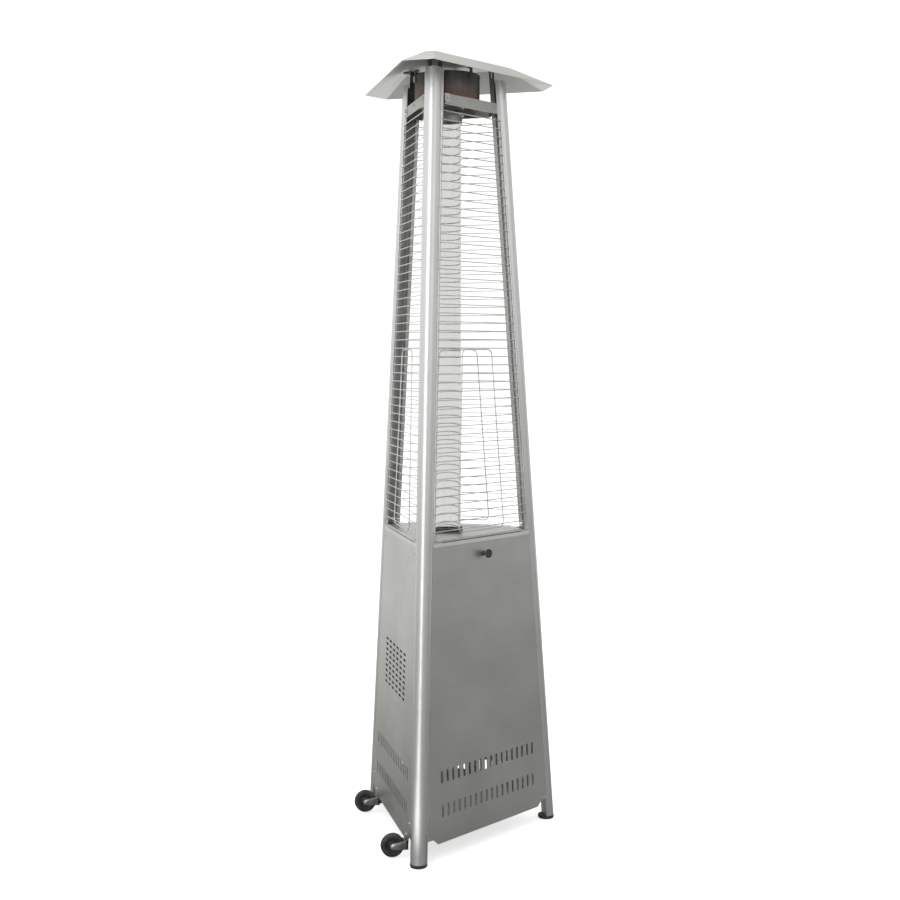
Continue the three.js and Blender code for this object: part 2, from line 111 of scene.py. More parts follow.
def pickUp(piece):
    deselect()
    piece.select_set(True)
    bpy.context.view_layer.objects.active = piece


def discard(*pieces):
    for piece in pieces:
        bpy.data.objects.remove(piece)


def named(name):
    piece = bpy.context.object
    piece.name = name
    piece.data.name = name
    return piece


def settle(piece, matrix=None):
    pickUp(piece)
    if matrix is not None:
        piece.matrix_world = matrix @ piece.matrix_world
    bpy.ops.object.transform_apply(location=True, rotation=True, scale=True)
    return piece


def edit(piece, mode="VERT"):
    pickUp(piece)
    bpy.ops.object.mode_set(mode="EDIT")
    bpy.ops.mesh.select_mode(type=mode)


def selectFaces(piece, test):
    edit(piece, "FACE")
    bpy.ops.mesh.select_all(action="DESELECT")
    bpy.ops.object.mode_set(mode="OBJECT")
    for face in piece.data.polygons:
        face.select = bool(test(face.center, face.normal))
    bpy.ops.object.mode_set(mode="EDIT")


def selectPoints(piece, test):
    edit(piece, "VERT")
    bpy.ops.mesh.select_all(action="DESELECT")
    bpy.ops.object.mode_set(mode="OBJECT")
    for point in piece.data.vertices:
        point.select = bool(test(point.co))
    bpy.ops.object.mode_set(mode="EDIT")


def movePoints(piece, test, step):
    selectPoints(piece, test)
    bpy.ops.transform.translate(value=step)
    bpy.ops.object.mode_set(mode="OBJECT")


def modify(piece, kind, **settings):
    pickUp(piece)
    modifier = piece.modifiers.new(kind.title(), kind)
    for key, value in settings.items():
        setattr(modifier, key, value)
    bpy.ops.object.modifier_apply(modifier=modifier.name)


def roundEdges(piece, width, segments=2):
    modify(piece, "BEVEL", width=width, segments=segments, limit_method="ANGLE")


def pierce(piece, *cutters):
    for cutter in cutters:
        modify(piece, "BOOLEAN", object=cutter, operation="DIFFERENCE", solver="EXACT")


def smooth(piece, angle=35):
    pickUp(piece)
    bpy.ops.object.shade_smooth_by_angle(angle=math.radians(angle))


def outwardFaces(piece):
    edit(piece)
    bpy.ops.mesh.select_all(action="SELECT")
    bpy.ops.mesh.remove_doubles(threshold=0.00001)
    bpy.ops.mesh.normals_make_consistent(inside=False)
    bpy.ops.object.mode_set(mode="OBJECT")


def copyOf(piece, name, matrix=None):
    made = piece.copy()
    made.data = piece.data.copy()
    made.name = name
    made.data.name = name
    bpy.context.collection.objects.link(made)
    if matrix is not None:
        settle(made, matrix)
    return made


def joined(pieces, name):
    deselect()
    for piece in pieces:
        piece.select_set(True)
    bpy.context.view_layer.objects.active = pieces[0]
    bpy.ops.object.join()
    return named(name)


def block(name, low, high, edgeRound=0.0, steps=2):
    size = [b - a for a, b in zip(low, high)]
    bpy.ops.mesh.primitive_cube_add(size=1, location=[(a + b) / 2 for a, b in zip(low, high)])
    piece = named(name)
    piece.scale = size
    settle(piece)
    if edgeRound:
        roundEdges(piece, edgeRound, steps)
    return piece


def rod(name, radius, length, sides, at=(0, 0, 0), turn=(0, 0, 0)):
    bpy.ops.mesh.primitive_cylinder_add(
        vertices=sides, radius=radius, depth=length, location=at, rotation=turn)
    return settle(named(name))


alongX = (0, math.pi / 2, 0)


# a shape turned about the z axis: a ring is drawn at the first radius and height,
# then extruded and scaled from step to step
def turned(name, profile, segments=64, closed=False, smoothAngle=35):
    smallest = 1e-4
    now, z = profile[0]
    bpy.ops.mesh.primitive_circle_add(
        vertices=segments, radius=max(now, smallest), location=(0, 0, z))
    piece = settle(named(name))
    edit(piece)
    bpy.ops.mesh.select_all(action="SELECT")
    if now == 0:
        bpy.ops.transform.resize(value=(0, 0, 1), center_override=(0, 0, z))
    for nextRadius, nextZ in profile[1:] + ([profile[0]] if closed else []):
        bpy.ops.mesh.extrude_region_move(TRANSFORM_OT_translate={"value": (0, 0, nextZ - z)})
        if now == 0:
            growRing(piece, nextRadius, segments, nextZ)
        else:
            ratio = nextRadius / now
            bpy.ops.transform.resize(value=(ratio, ratio, 1), center_override=(0, 0, nextZ))
        now, z = nextRadius, nextZ
    outwardFaces(piece)
    smooth(piece, smoothAngle)
    return piece


# opens out a ring that starts as a point
def growRing(piece, radius, segments, z):
    bpy.ops.object.mode_set(mode="OBJECT")
    chosen = [point for point in piece.data.vertices if point.select]
    for i, point in enumerate(chosen):
        turn = 2 * math.pi * i / segments
        point.co = (-radius * math.sin(turn), radius * math.cos(turn), z)
    bpy.ops.object.mode_set(mode="EDIT")


def finished(piece, body, slotName, material, *replaced):
    piece.data.materials.clear()
    piece.data.materials.append(material)
    for face in piece.data.polygons:
        face.material_index = 0
    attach(piece, body)
    if replaced:
        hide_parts(*replaced)
    return piece


def redress(nodeName, material):
    mesh = nodes[nodeName].data
    mesh.materials.clear()
    mesh.materials.append(material)


# shader nodes: one is added with its settings and socket values, and wires come as rows of
# from, its socket, to, its socket
def addNode(tree, kind, values=None, **settings):
    node = tree.nodes.new("ShaderNode" + kind)
    for key, value in settings.items():
        setattr(node, key, value)
    for key, value in (values or {}).items():
        node.inputs[key].default_value = value
    return node


def wireUp(tree, *rows):
    for source, comesOut, target, goesIn in rows:
        tree.links.new(source.outputs[comesOut], target.inputs[goesIn])


mixLow, mixHigh, mixed = 6, 7, 2  # the colour sockets of a Mix node


def newGroup(name, sockets):
    group = bpy.data.node_groups.new(name, "ShaderNodeTree")
    for socketName, (kind, value) in sockets.items():
        socket = group.interface.new_socket(
            name=socketName, in_out="INPUT", socket_type="NodeSocket" + kind)
        socket.default_value = value
    for socketName, kind in (("Color", "Color"), ("Roughness", "Float"), ("Normal", "Vector")):
        group.interface.new_socket(
            name=socketName, in_out="OUTPUT", socket_type="NodeSocket" + kind)
    given, out = group.nodes.new("NodeGroupInput"), group.nodes.new("NodeGroupOutput")
    return group, given, out


# sheet grain: long thin scratches in one direction, cloudy rolling marks and a faint bump
def makeGrainGroup():
    group, given, out = newGroup("sheetGrain", {
        "Stretch": ("Vector", (6, 6, 900)), "Light": ("Color", (0.6, 0.6, 0.58, 1)),
        "Dark": ("Color", (0.45, 0.45, 0.43, 1)), "Smoothest": ("Float", 0.28),
        "Roughest": ("Float", 0.45), "Depth": ("Float", 0.08), "Cloud Size": ("Float", 5.0)})
    place = addNode(group, "TexCoord")
    stretch = addNode(group, "VectorMath", operation="MULTIPLY")
    grain = addNode(group, "TexNoise", {"Scale": 1.0, "Detail": 4.0})
    cloud = addNode(group, "TexNoise", {"Detail": 3.0})
    both = addNode(group, "Math", {1: 0.45}, operation="MULTIPLY_ADD")
    spread = addNode(group, "MapRange", {"From Min": 0.45, "From Max": 0.95})
    tone = addNode(group, "Mix", data_type="RGBA")
    rough, bump = addNode(group, "MapRange"), addNode(group, "Bump", {"Distance": 0.0004})
    wireUp(group,
           (place, "Object", stretch, 0), (given, "Stretch", stretch, 1),
           (stretch, 0, grain, "Vector"), (place, "Object", cloud, "Vector"),
           (given, "Cloud Size", cloud, "Scale"), (grain, "Fac", both, 0),
           (cloud, "Fac", both, 2), (both, 0, spread, "Value"),
           (spread, "Result", tone, "Factor"), (given, "Dark", tone, mixLow),
           (given, "Light", tone, mixHigh), (tone, mixed, out, "Color"),
           (grain, "Fac", rough, "Value"), (given, "Smoothest", rough, "To Min"),
           (given, "Roughest", rough, "To Max"), (rough, "Result", out, "Roughness"),
           (grain, "Fac", bump, "Height"), (given, "Depth", bump, "Strength"),
           (bump, "Normal", out, "Normal"))
    return group


# moulded or cast skin: fine pitting with paler handled patches
def makePittedGroup():
    group, given, out = newGroup("pittedSkin", {
        "Base": ("Color", (0.03, 0.03, 0.03, 1)), "Worn": ("Color", (0.08, 0.08, 0.08, 1)),
        "Pit Size": ("Float", 900.0), "Smoothest": ("Float", 0.4),
        "Roughest": ("Float", 0.7), "Depth": ("Float", 0.2)})
    place, pits = addNode(group, "TexCoord"), addNode(group, "TexNoise")
    patches = addNode(group, "TexNoise", {"Scale": 40.0, "Detail": 5.0})
    spread = addNode(group, "MapRange", {"From Min": 0.42, "From Max": 0.7})
    tone = addNode(group, "Mix", data_type="RGBA")
    rough, bump = addNode(group, "MapRange"), addNode(group, "Bump", {"Distance": 0.0005})
    wireUp(group,
           (place, "Object", pits, "Vector"), (place, "Object", patches, "Vector"),
           (given, "Pit Size", pits, "Scale"), (patches, "Fac", spread, "Value"),
           (spread, "Result", tone, "Factor"), (given, "Base", tone, mixLow),
           (given, "Worn", tone, mixHigh), (tone, mixed, out, "Color"),
           (patches, "Fac", rough, "Value"), (given, "Smoothest", rough, "To Min"),
           (given, "Roughest", rough, "To Max"), (rough, "Result", out, "Roughness"),
           (pits, "Fac", bump, "Height"), (given, "Depth", bump, "Strength"),
           (bump, "Normal", out, "Normal"))
    return group


grainGroup = makeGrainGroup()
pittedGroup = makePittedGroup()


def newMaterial(name, metallic):
    material = bpy.data.materials.new(name)
    material.use_nodes = True
    shader = material.node_tree.nodes["Principled BSDF"]
    shader.inputs["Metallic"].default_value = metallic
    return material, shader


def dressed(material, shader, group, values):
    node = addNode(material.node_tree, "Group", node_tree=group)
    for key, value in values.items():
        node.inputs[key].default_value = value
    wireUp(material.node_tree, (node, "Color", shader, "Base Color"),
           (node, "Roughness", shader, "Roughness"), (node, "Normal", shader, "Normal"))
    return node


def grained(name, light, dark, stretch, smoothest, roughest, depth=0.06, metallic=1.0, cloud=5.0):
    material, shader = newMaterial(name, metallic)
    dressed(material, shader, grainGroup, {
        "Light": (*light, 1), "Dark": (*dark, 1), "Stretch": stretch,
        "Smoothest": smoothest, "Roughest": roughest, "Depth": depth, "Cloud Size": cloud})
    return material


def pitted(name, base, worn, size, smoothest, roughest, depth=0.2, metallic=0.0):
    material, shader = newMaterial(name, metallic)
    dressed(material, shader, pittedGroup, {
        "Base": (*base, 1), "Worn": (*worn, 1), "Pit Size": size,
        "Smoothest": smoothest, "Roughest": roughest, "Depth": depth})
    return material


# metals: light tone, dark tone, grain stretch, smoothest, roughest, depth, metallic, cloud size
lengthwise, level, crosswise = (700, 700, 5), (4, 4, 420), (4, 300, 300)
metals = {
    "satinPost": ((0.85, 0.85, 0.845), (0.77, 0.77, 0.765), lengthwise, 0.34, 0.44, 0.04),
    "brushedPanel": ((0.76, 0.76, 0.73), (0.62, 0.62, 0.59), level, 0.34, 0.46, 0.08),
    # greySteelAndPaintedShade: the tube collar's own grey steel, and painted shade on the posts'
    # inner sides
    "greySteelAndPaintedShade": ((0.54, 0.54, 0.525), (0.40, 0.40, 0.39), lengthwise, 0.45, 0.60, 0.05),
    "traySheet": ((0.52, 0.515, 0.49), (0.42, 0.415, 0.395), level, 0.34, 0.46, 0.06),
    "foldedSheet": ((0.78, 0.78, 0.76), (0.66, 0.66, 0.64), level, 0.32, 0.44, 0.06),
    "hoodSheet": ((0.73, 0.73, 0.705), (0.62, 0.62, 0.595), crosswise, 0.42, 0.55, 0.05, 0.7),
    "platedWire": ((0.88, 0.88, 0.87), (0.70, 0.70, 0.69), (60, 60, 60), 0.25, 0.40, 0.05),
    "zincPlate": ((0.72, 0.72, 0.69), (0.56, 0.56, 0.54), (90, 90, 90), 0.30, 0.48, 0.08,
                  1.0, 30.0),
    "brassMetal": ((0.78, 0.60, 0.30), (0.58, 0.42, 0.18), (120, 120, 120), 0.22, 0.40, 0.05,
                   1.0, 30.0),
}
# skins: base, worn tone, pit size, smoothest, roughest, depth, metallic
skins = {
    "darkSteel": ((0.085, 0.083, 0.078), (0.15, 0.147, 0.14), 700, 0.42, 0.58, 0.08, 0.6),
    "blackRubber": ((0.034, 0.034, 0.035), (0.085, 0.085, 0.083), 1200, 0.62, 0.85, 0.35),
    "blackPlastic": ((0.032, 0.032, 0.034), (0.075, 0.075, 0.077), 1600, 0.22, 0.40, 0.15),
    "whiteCeramic": ((0.82, 0.80, 0.75), (0.62, 0.58, 0.50), 500, 0.15, 0.35, 0.05),
    "redPlastic": ((0.35, 0.02, 0.015), (0.45, 0.05, 0.04), 1600, 0.30, 0.45, 0.1),
}
finish = {name: grained(name, *values) for name, values in metals.items()}
finish.update({name: pitted(name, *values) for name, values in skins.items()})

# heat-tinted sheet: brown-red low down, going dark grey at the top, with streaks running down
heatTint = {"fromZ": 2.159, "toZ": 2.234, "streaks": 0.55, "red": (0.30, 0.185, 0.15, 1),
            "brown": (0.235, 0.185, 0.165, 1), "grey": (0.135, 0.13, 0.13, 1)}


def makeHeatTinted():
    material, shader = newMaterial("heatTinted", 0.9)
    tree = material.node_tree
    place, split = addNode(tree, "TexCoord"), addNode(tree, "SeparateXYZ")
    streaks = addNode(tree, "TexNoise", {"Scale": 1.0, "Detail": 5.0})
    stretch = addNode(tree, "Mapping", {"Scale": (60, 60, 5)})
    height = addNode(tree, "MapRange", {
        "From Min": heatTint["fromZ"], "From Max": heatTint["toZ"]})
    shift = addNode(tree, "Math", {1: heatTint["streaks"]}, operation="MULTIPLY_ADD")
    ramp = addNode(tree, "ValToRGB")
    low, high = ramp.color_ramp.elements
    low.position, low.color = 0.25, heatTint["red"]
    high.position, high.color = 0.92, heatTint["grey"]
    ramp.color_ramp.elements.new(0.62).color = heatTint["brown"]
    rough = addNode(tree, "MapRange", {"To Min": 0.38, "To Max": 0.6})
    bump = addNode(tree, "Bump", {"Strength": 0.08, "Distance": 0.0005})
    wireUp(tree,
           (place, "Object", split, 0), (place, "Object", stretch, "Vector"),
           (stretch, 0, streaks, "Vector"), (split, "Z", height, "Value"),
           (streaks, "Fac", shift, 0), (height, "Result", shift, 2), (shift, 0, ramp, "Fac"),
           (ramp, "Color", shader, "Base Color"), (streaks, "Fac", rough, "Value"),
           (rough, "Result", shader, "Roughness"), (streaks, "Fac", bump, "Height"),
           (bump, "Normal", shader, "Normal"))
    return material


# clear tube: faintly green, with a thin smoky haze drawn out along it
hazeTint = {"thick": (0.715, 0.72, 0.70, 1), "thin": (0.81, 0.81, 0.79, 1), "bend": 1.2}


def makeTubeGlass():
    material, shader = newMaterial("tubeGlass", 0.0)
    shader.inputs["Transmission Weight"].default_value = 1.0
    shader.inputs["IOR"].default_value = hazeTint["bend"]
    tree = material.node_tree
    place, drawn = addNode(tree, "TexCoord"), addNode(tree, "Mapping", {"Scale": (13, 13, 0.6)})
    haze = addNode(tree, "TexNoise", {"Scale": 9.0, "Detail": 4.0})
    ramp = addNode(tree, "ValToRGB")
    rough = addNode(tree, "MapRange", {"To Min": 0.02, "To Max": 0.10})
    ramp.color_ramp.elements[0].color = hazeTint["thick"]
    ramp.color_ramp.elements[1].color = hazeTint["thin"]
    wireUp(tree,
           (place, "Object", drawn, "Vector"), (drawn, 0, haze, "Vector"),
           (haze, "Fac", ramp, "Fac"), (ramp, "Color", shader, "Base Color"),
           (haze, "Fac", rough, "Value"), (rough, "Result", shader, "Roughness"))
    return material


finish["heatTinted"], finish["tubeGlass"] = makeHeatTinted(), makeTubeGlass()
print("finishes made:", len(finish))

# posts; a flange is how far it lies from the post's centre, and how long it is
postTube = {"radius": 0.0235, "wall": 0.0018, "sides": 120, "flangeTurn": 60, "paintedShadeBelow": -0.3,
            "footFlange": (0.0190, 0.016), "lowFlange": (0.0190, 0.050),
            "highFlange": (0.0155, 0.027)}
postLengths = {"postStub": (0.0100, 0.0680, "footFlange"),
               "postSkirt": (0.0680, 0.9040, "lowFlange"),
               "postNeck": (0.9040, 0.9178, "highFlange")}
upperFoot = 0.9186


# one length of post: an open ring with two flanges, drawn flat, then pulled up along the lean
def makePost(name, angle, lowZ, highZ, flange):
    middle = postTube["radius"] - postTube["wall"] / 2
    flangeOut, flangeLength = flange[0] - postTube["wall"] / 2, flange[1]
    centre = postCentre(angle, lowZ)
    bpy.ops.mesh.primitive_circle_add(vertices=postTube["sides"], radius=middle, location=centre)
    piece = settle(named(name))
    out, side = outward(angle), sideways(angle)
    turn = math.radians(postTube["flangeTurn"])
    limit = postTube["flangeTurn"] + math.degrees(math.acos(flangeOut / middle))

    def bearing(co):
        step = co - centre
        return math.degrees(math.atan2(step.dot(side), step.dot(out)))

    selectPoints(piece, lambda co: abs(bearing(co)) > limit + 0.1)
    bpy.ops.mesh.delete(type="VERT")
    bpy.ops.object.mode_set(mode="OBJECT")
    for hand in (1, -1):
        end = max(piece.data.vertices, key=lambda point: hand * bearing(point.co)).co.copy()
        normal = out * math.cos(turn) + side * hand * math.sin(turn)
        along = out * -math.sin(turn) + side * hand * math.cos(turn)
        target = centre + normal * flangeOut + along * flangeLength
        selectPoints(piece, lambda co: (co - end).length < 1e-6)
        bpy.ops.mesh.extrude_region_move(TRANSFORM_OT_translate={"value": target - end})
        bpy.ops.object.mode_set(mode="OBJECT")
    edit(piece)
    bpy.ops.mesh.select_all(action="SELECT")
    rise = postCentre(angle, highZ) - centre
    bpy.ops.mesh.extrude_region_move(TRANSFORM_OT_translate={"value": rise})
    outwardFaces(piece)
    modify(piece, "SOLIDIFY", thickness=postTube["wall"], offset=0)
    outwardFaces(piece)
    smooth(piece, 30)
    return piece


for corner, angle in cornerAngles.items():
    lengths = [makePost(name, angle, low, high, postTube[flange])
               for name, (low, high, flange) in postLengths.items()]
    lower = joined(lengths, "lowerPostTube_" + corner)
    upper = makePost("upperPostTube_" + corner, angle, upperFoot, tower["topZ"],
                     postTube["highFlange"])
    finished(lower, "frame", "satin_steel", finish["satinPost"], "lower_post_" + corner)
    finished(upper, "frame", "satin_steel", finish["satinPost"], "upper_post_" + corner)
    # the sides that look in at the tube get a darker steel: painted shade standing in for the dim
    # reflection these inner sides show
    upper.data.materials.append(finish["greySteelAndPaintedShade"])
    # painted shade: faces turned in towards the tube take the darker second material
    for face in upper.data.polygons:
        shadedSide = face.normal.dot(outward(angle)) < postTube["paintedShadeBelow"]
        face.material_index = 1 if shadedSide else 0

# rubber caps, and a thin web that closes the open side of the post just above each
footCap = {"radius": 0.0245, "height": 0.0097, "corner": 0.003, "topEdge": 0.0006}
footWeb = {"low": 0.0102, "high": 0.0660, "near": -0.0046, "far": -0.0060, "half": 0.0238,
           "edge": 0.0003}
for corner, angle in cornerAngles.items():
    radius, height, topEdge = footCap["radius"], footCap["height"], footCap["topEdge"]
    cap = turned("footCap_" + corner, [
        (0, 0), (radius - footCap["corner"], 0), (radius - 0.001, 0.0008),
        (radius, footCap["corner"]), (radius, height - topEdge), (radius - topEdge, height),
        (0, height)])
    settle(cap, Matrix.Translation(postCentre(angle, height) - Vector((0, 0, height))))
    finished(cap, "frame", "rubber", finish["blackRubber"], "foot_cap_" + corner)
    low, high = footWeb["low"], footWeb["high"]
    web = block("footWeb_" + corner, (footWeb["far"], -footWeb["half"], low),
                (footWeb["near"], footWeb["half"], high))
    movePoints(web, lambda co: co.z > (low + high) / 2, (-tower["lean"] * (high - low), 0, 0))
    roundEdges(web, footWeb["edge"])
    settle(web, turnedTo(angle, axis + outward(angle) * postRadius(low)))
    finished(web, "frame", "satin_steel", finish["satinPost"])
print("posts made")

# panels and door
panel = {"outer": 0.0205, "sheet": 0.0012, "edge": 0.0143, "bottom": 0.051, "top": 0.8895,
         "cutT": 0.214, "cutZ": 0.086}
slotRows = {"count": 18, "span": 0.197, "width": 0.008, "rows": ((0.124, 0.160), (0.220, 0.256))}
ventField = {"columns": 6, "rows": 9, "span": 0.126, "width": 0.028, "height": 0.007,
             "low": 0.430, "high": 0.568}
control = {"z": 0.790, "knobT": -0.035, "buttonT": 0.045, "knobHole": 0.012, "buttonHole": 0.018}
sheetBack = panel["outer"] - panel["sheet"]


# a leaning sheet in face coordinates, wider at the bottom, with its lower corners cut off
def makeSheet(name):
    low, high = faceHeight(panel["bottom"]), faceHeight(panel["top"])
    half, topHalf, cutHalf = (
        halfWidth(panel[place]) - panel["edge"] for place in ("bottom", "top", "cutZ"))
    piece = block(name, (-half, low, sheetBack), (half, high, panel["outer"]))
    selectPoints(piece, lambda co: co.y > (low + high) / 2)
    bpy.ops.transform.resize(
        value=(topHalf / half, 1, 1), center_override=(0, high, panel["outer"]))
    for hand in (1, -1):
        bpy.ops.mesh.select_all(action="SELECT")
        normal = (hand * (panel["cutZ"] - panel["bottom"]), panel["cutT"] - cutHalf, 0)
        bpy.ops.mesh.bisect(plane_co=(hand * cutHalf, panel["cutZ"], 0), plane_no=normal,
                            use_fill=True, clear_outer=True)
    outwardFaces(piece)
    return piece


# a cutter with round ends, pulled out along the longer of its two directions
def makeCutter(x, y, width, height):
    piece = rod("cutter", min(width, height) / 2, 0.03, 20, (x, y, panel["outer"]))
    if width != height:
        way = 0 if width > height else 1
        middle = (x, y)[way] + 1e-6
        step = [0, 0, 0]
        step[way] = abs(height - width) / 2
        movePoints(piece, lambda co: co[way] > middle, step)
        movePoints(piece, lambda co: co[way] <= middle, [-part for part in step])
    return piece


def makeSlotCutters():
    width = slotRows["width"]
    pitch = (2 * slotRows["span"] - width) / (slotRows["count"] - 1)
    cutters = []
    for low, high in slotRows["rows"]:
        first = makeCutter(-slotRows["span"] + width / 2, (low + high) / 2, width, high - low)
        cutters.append(first)
        for i in range(1, slotRows["count"]):
            cutters.append(copyOf(first, "cutter", Matrix.Translation((i * pitch, 0, 0))))
    return joined(cutters, "slotCutters")


def makeVentCutters():
    width, height = ventField["width"], ventField["height"]
    stepX = (2 * ventField["span"] - width) / (ventField["columns"] - 1)
    stepY = (ventField["high"] - ventField["low"] - height) / (ventField["rows"] - 1)
    first = makeCutter(-ventField["span"] + width / 2, ventField["low"] + height / 2,
                       width, height)
    cutters = []
    for row in range(ventField["rows"]):
        for column in range(ventField["columns"]):
            place = Matrix.Translation((column * stepX, row * stepY, 0))
            cutters.append(copyOf(first, "cutter", place))
    discard(first)
    return joined(cutters, "ventCutters")


slotCutters, ventCutters = makeSlotCutters(), makeVentCutters()
knobHole, buttonHole = (
    makeCutter(control[which + "T"], control["z"], control[which + "Hole"],
               control[which + "Hole"]) for which in ("knob", "button"))
sideSheets = {"left": (slotCutters, ventCutters), "right": (slotCutters, knobHole, buttonHole)}
for side, cutters in sideSheets.items():
    sideSheet = makeSheet(side + "PanelSheet")
    pierce(sideSheet, *cutters)
    settle(sideSheet, faceMatrix(faceAngles[side]))
    finished(sideSheet, "frame", "brushed_steel", finish["brushedPanel"], side + "_panel")

# the door's sheet has a hem behind its top edge and two drilled lugs for the hinge pins
doorFold = {"reach": 0.008, "z": 0.887, "thick": 0.0015, "inset": 0.054, "lap": 0.0002,
            "edge": 0.0004}
doorLug = {"t": 0.150, "z": 0.062, "w": 0.012, "hole": 0.0031, "half": 0.0015, "rise": 0.006,
           "near": 0.007}
doorSheet = makeSheet("doorSheet")
pierce(doorSheet, slotCutters)
hemHalf, foldBack = halfWidth(panel["top"]) - doorFold["inset"], sheetBack + doorFold["lap"]
hem = block("doorHem", (-hemHalf, doorFold["z"], doorFold["reach"]),
            (hemHalf, doorFold["z"] + doorFold["thick"], foldBack), doorFold["edge"])
lugs = []
for hand in (-1, 1):
    t, z, half, rise = hand * doorLug["t"], doorLug["z"], doorLug["half"], doorLug["rise"]
    lug = block("doorLug", (t - half, z - rise, doorLug["near"]), (t + half, z + rise, foldBack))
    pinHole = rod("pinHole", doorLug["hole"], 0.02, 28, (t, z, doorLug["w"]), alongX)
    pierce(lug, pinHole)
    discard(pinHole)
    lugs.append(lug)
doorSheet = joined([doorSheet, hem, *lugs], "doorSheet")
settle(doorSheet, faceMatrix(faceAngles["front"]))
finished(doorSheet, "door", "brushed_steel", finish["brushedPanel"], "door")
discard(slotCutters, ventCutters, knobHole, buttonHole)

# the folded strip along the top of each sheet, leaning back a little
topStrip = {"low": 0.8880, "high": 0.8990, "back": 0.0193, "front": 0.0216, "fallBack": 0.0015,
            "clear": 0.0005, "edge": 0.00035}
stripHalf = halfWidth(topStrip["high"]) - panel["edge"] - topStrip["clear"]
for side, angle in faceAngles.items():
    low, high = faceHeight(topStrip["low"]), faceHeight(topStrip["high"])
    back, front = topStrip["back"], topStrip["front"]
    strip = block("topStrip_" + side, (-stripHalf, low, back), (stripHalf, high, front))
    movePoints(strip, lambda co: co.y > (low + high) / 2 and co.z > (back + front) / 2,
               (0, 0, -topStrip["fallBack"]))
    roundEdges(strip, topStrip["edge"])
    settle(strip, faceMatrix(angle))
    finished(strip, "door" if side == "front" else "frame", "brushed_steel",
             finish["foldedSheet"])

# the door's knob: a short waisted stem under a dished head
doorPull = {"z": 0.853, "base": 0.008, "waist": 0.0052, "head": 0.013, "seat": 0.0003}
seat, base, head = panel["outer"] + doorPull["seat"], doorPull["base"], doorPull["head"]
pull = turned("doorPull", [
    (0, seat), (base, seat), (base, seat + 0.0015), (base - 0.0008, seat + 0.0025),
    (0.0056, seat + 0.004), (doorPull["waist"], seat + 0.008), (0.0056, seat + 0.011),
    (0.0085, seat + 0.0145), (head - 0.0012, seat + 0.0172), (head, seat + 0.0195),
    (head - 0.0001, seat + 0.0225), (0.0121, seat + 0.0238), (0.0108, seat + 0.0243),
    (0.0098, seat + 0.0238), (0.0090, seat + 0.0224), (0.0045, seat + 0.0218),
    (0, seat + 0.0217)], 48)
settle(pull, faceMatrix(faceAngles["front"]) @ Matrix.Translation(onFace(0, doorPull["z"], 0)))
finished(pull, "door", "black_plastic", finish["blackPlastic"], "door_knob")
print("panels and door made")

# screws with a domed head and a cross drive
screw = {"radius": 0.0042, "height": 0.0022, "slot": 0.0009, "turn": 0.6}
panelScrews = ((-0.189, 0.872), (0.189, 0.872), (-0.234, 0.110), (0.234, 0.110),
               (-0.2, 0.067), (0.2, 0.067))
trayFlange = {"z": 2.148, "w": 0.0195, "screws": (-0.005, 0.100), "tab": -0.098}


def makeScrew(name, radius, height, slot):
    piece = turned(name, [
        (0, -0.001), (radius, -0.001), (radius, 0.0004), (radius * 0.93, height * 0.55),
        (radius * 0.7, height * 0.88), (radius * 0.35, height), (0, height)], 24)
    arm = radius * 0.55
    cross = block("driveCross", (-arm, -slot / 2, height * 0.4), (arm, slot / 2, height * 2))
    other = copyOf(cross, "driveCross", Matrix.Rotation(math.pi / 2, 4, "Z"))
    pierce(piece, cross, other)
    discard(cross, other)
    return piece


panScrew = makeScrew("panScrew", screw["radius"], screw["height"], screw["slot"])
screwSpots = [(side, t, z, panel["outer"]) for side in ("left", "right") for t, z in panelScrews]
screwSpots += [(side, t, trayFlange["z"], trayFlange["w"])
               for side in faceAngles for t in trayFlange["screws"]]
for count, (side, t, z, w) in enumerate(screwSpots, 1):
    spot = faceMatrix(faceAngles[side]) @ Matrix.Translation(onFace(t, z, w))
    turn = Matrix.Rotation(screw["turn"] * count, 4, "Z")
    finished(copyOf(panScrew, "screw_%02d" % count, spot @ turn), "frame", "zinc",
             finish["zincPlate"])
discard(panScrew)

# a small pressed tab with a hex bolt at the left end of each tray flange
trayTab = {"half": 0.009, "rise": 0.012, "thick": 0.0012, "edge": 0.0005}
trayBolt = {"radius": 0.0048, "top": 0.0048, "chamfer": 0.0042, "crown": 0.0040, "foot": 0.001}
for side, angle in faceAngles.items():
    half, rise, radius = trayTab["half"], trayTab["rise"], trayBolt["radius"]
    plate = block("trayTab_" + side, (-half, -rise, 0.0), (half, rise, trayTab["thick"]),
                  trayTab["edge"])
    bolt = turned("trayBolt_" + side, [
        (0, trayBolt["foot"]), (radius, trayBolt["foot"]), (radius, trayBolt["chamfer"]),
        (trayBolt["crown"], trayBolt["top"]), (0, trayBolt["top"])], 6, smoothAngle=20)
    tab = joined([plate, bolt], "trayTab_" + side)
    spot = Matrix.Translation(onFace(trayFlange["tab"], trayFlange["z"], trayFlange["w"]))
    settle(tab, faceMatrix(angle) @ spot)
    finished(tab, "frame", "zinc", finish["zincPlate"])
print("fixings made:", len(screwSpots), "screws")

# wire guards: the lowest wires stop short of the post flanges
guard = {"low": 0.906, "high": 2.112, "wires": 50, "thick": 0.0014, "side": 0.0017,
         "sideFoot": 0.921, "sideIn": 0.002, "edge": 0.0158, "w": 0.0189, "shortBelow": 0.92,
         "shortEdge": 0.052}
brace = {"low": 0.922, "high": 1.443, "lowHalf": 0.094, "highHalf": 0.0615, "corner": 0.016,
         "w": 0.0160, "thick": 0.0017, "cornerSteps": 7}


def makeWire(start, end, radius):
    step = end - start
    piece = rod("wire", radius, step.length, 10)
    return settle(piece, pointedTo(step, (start + end) / 2))


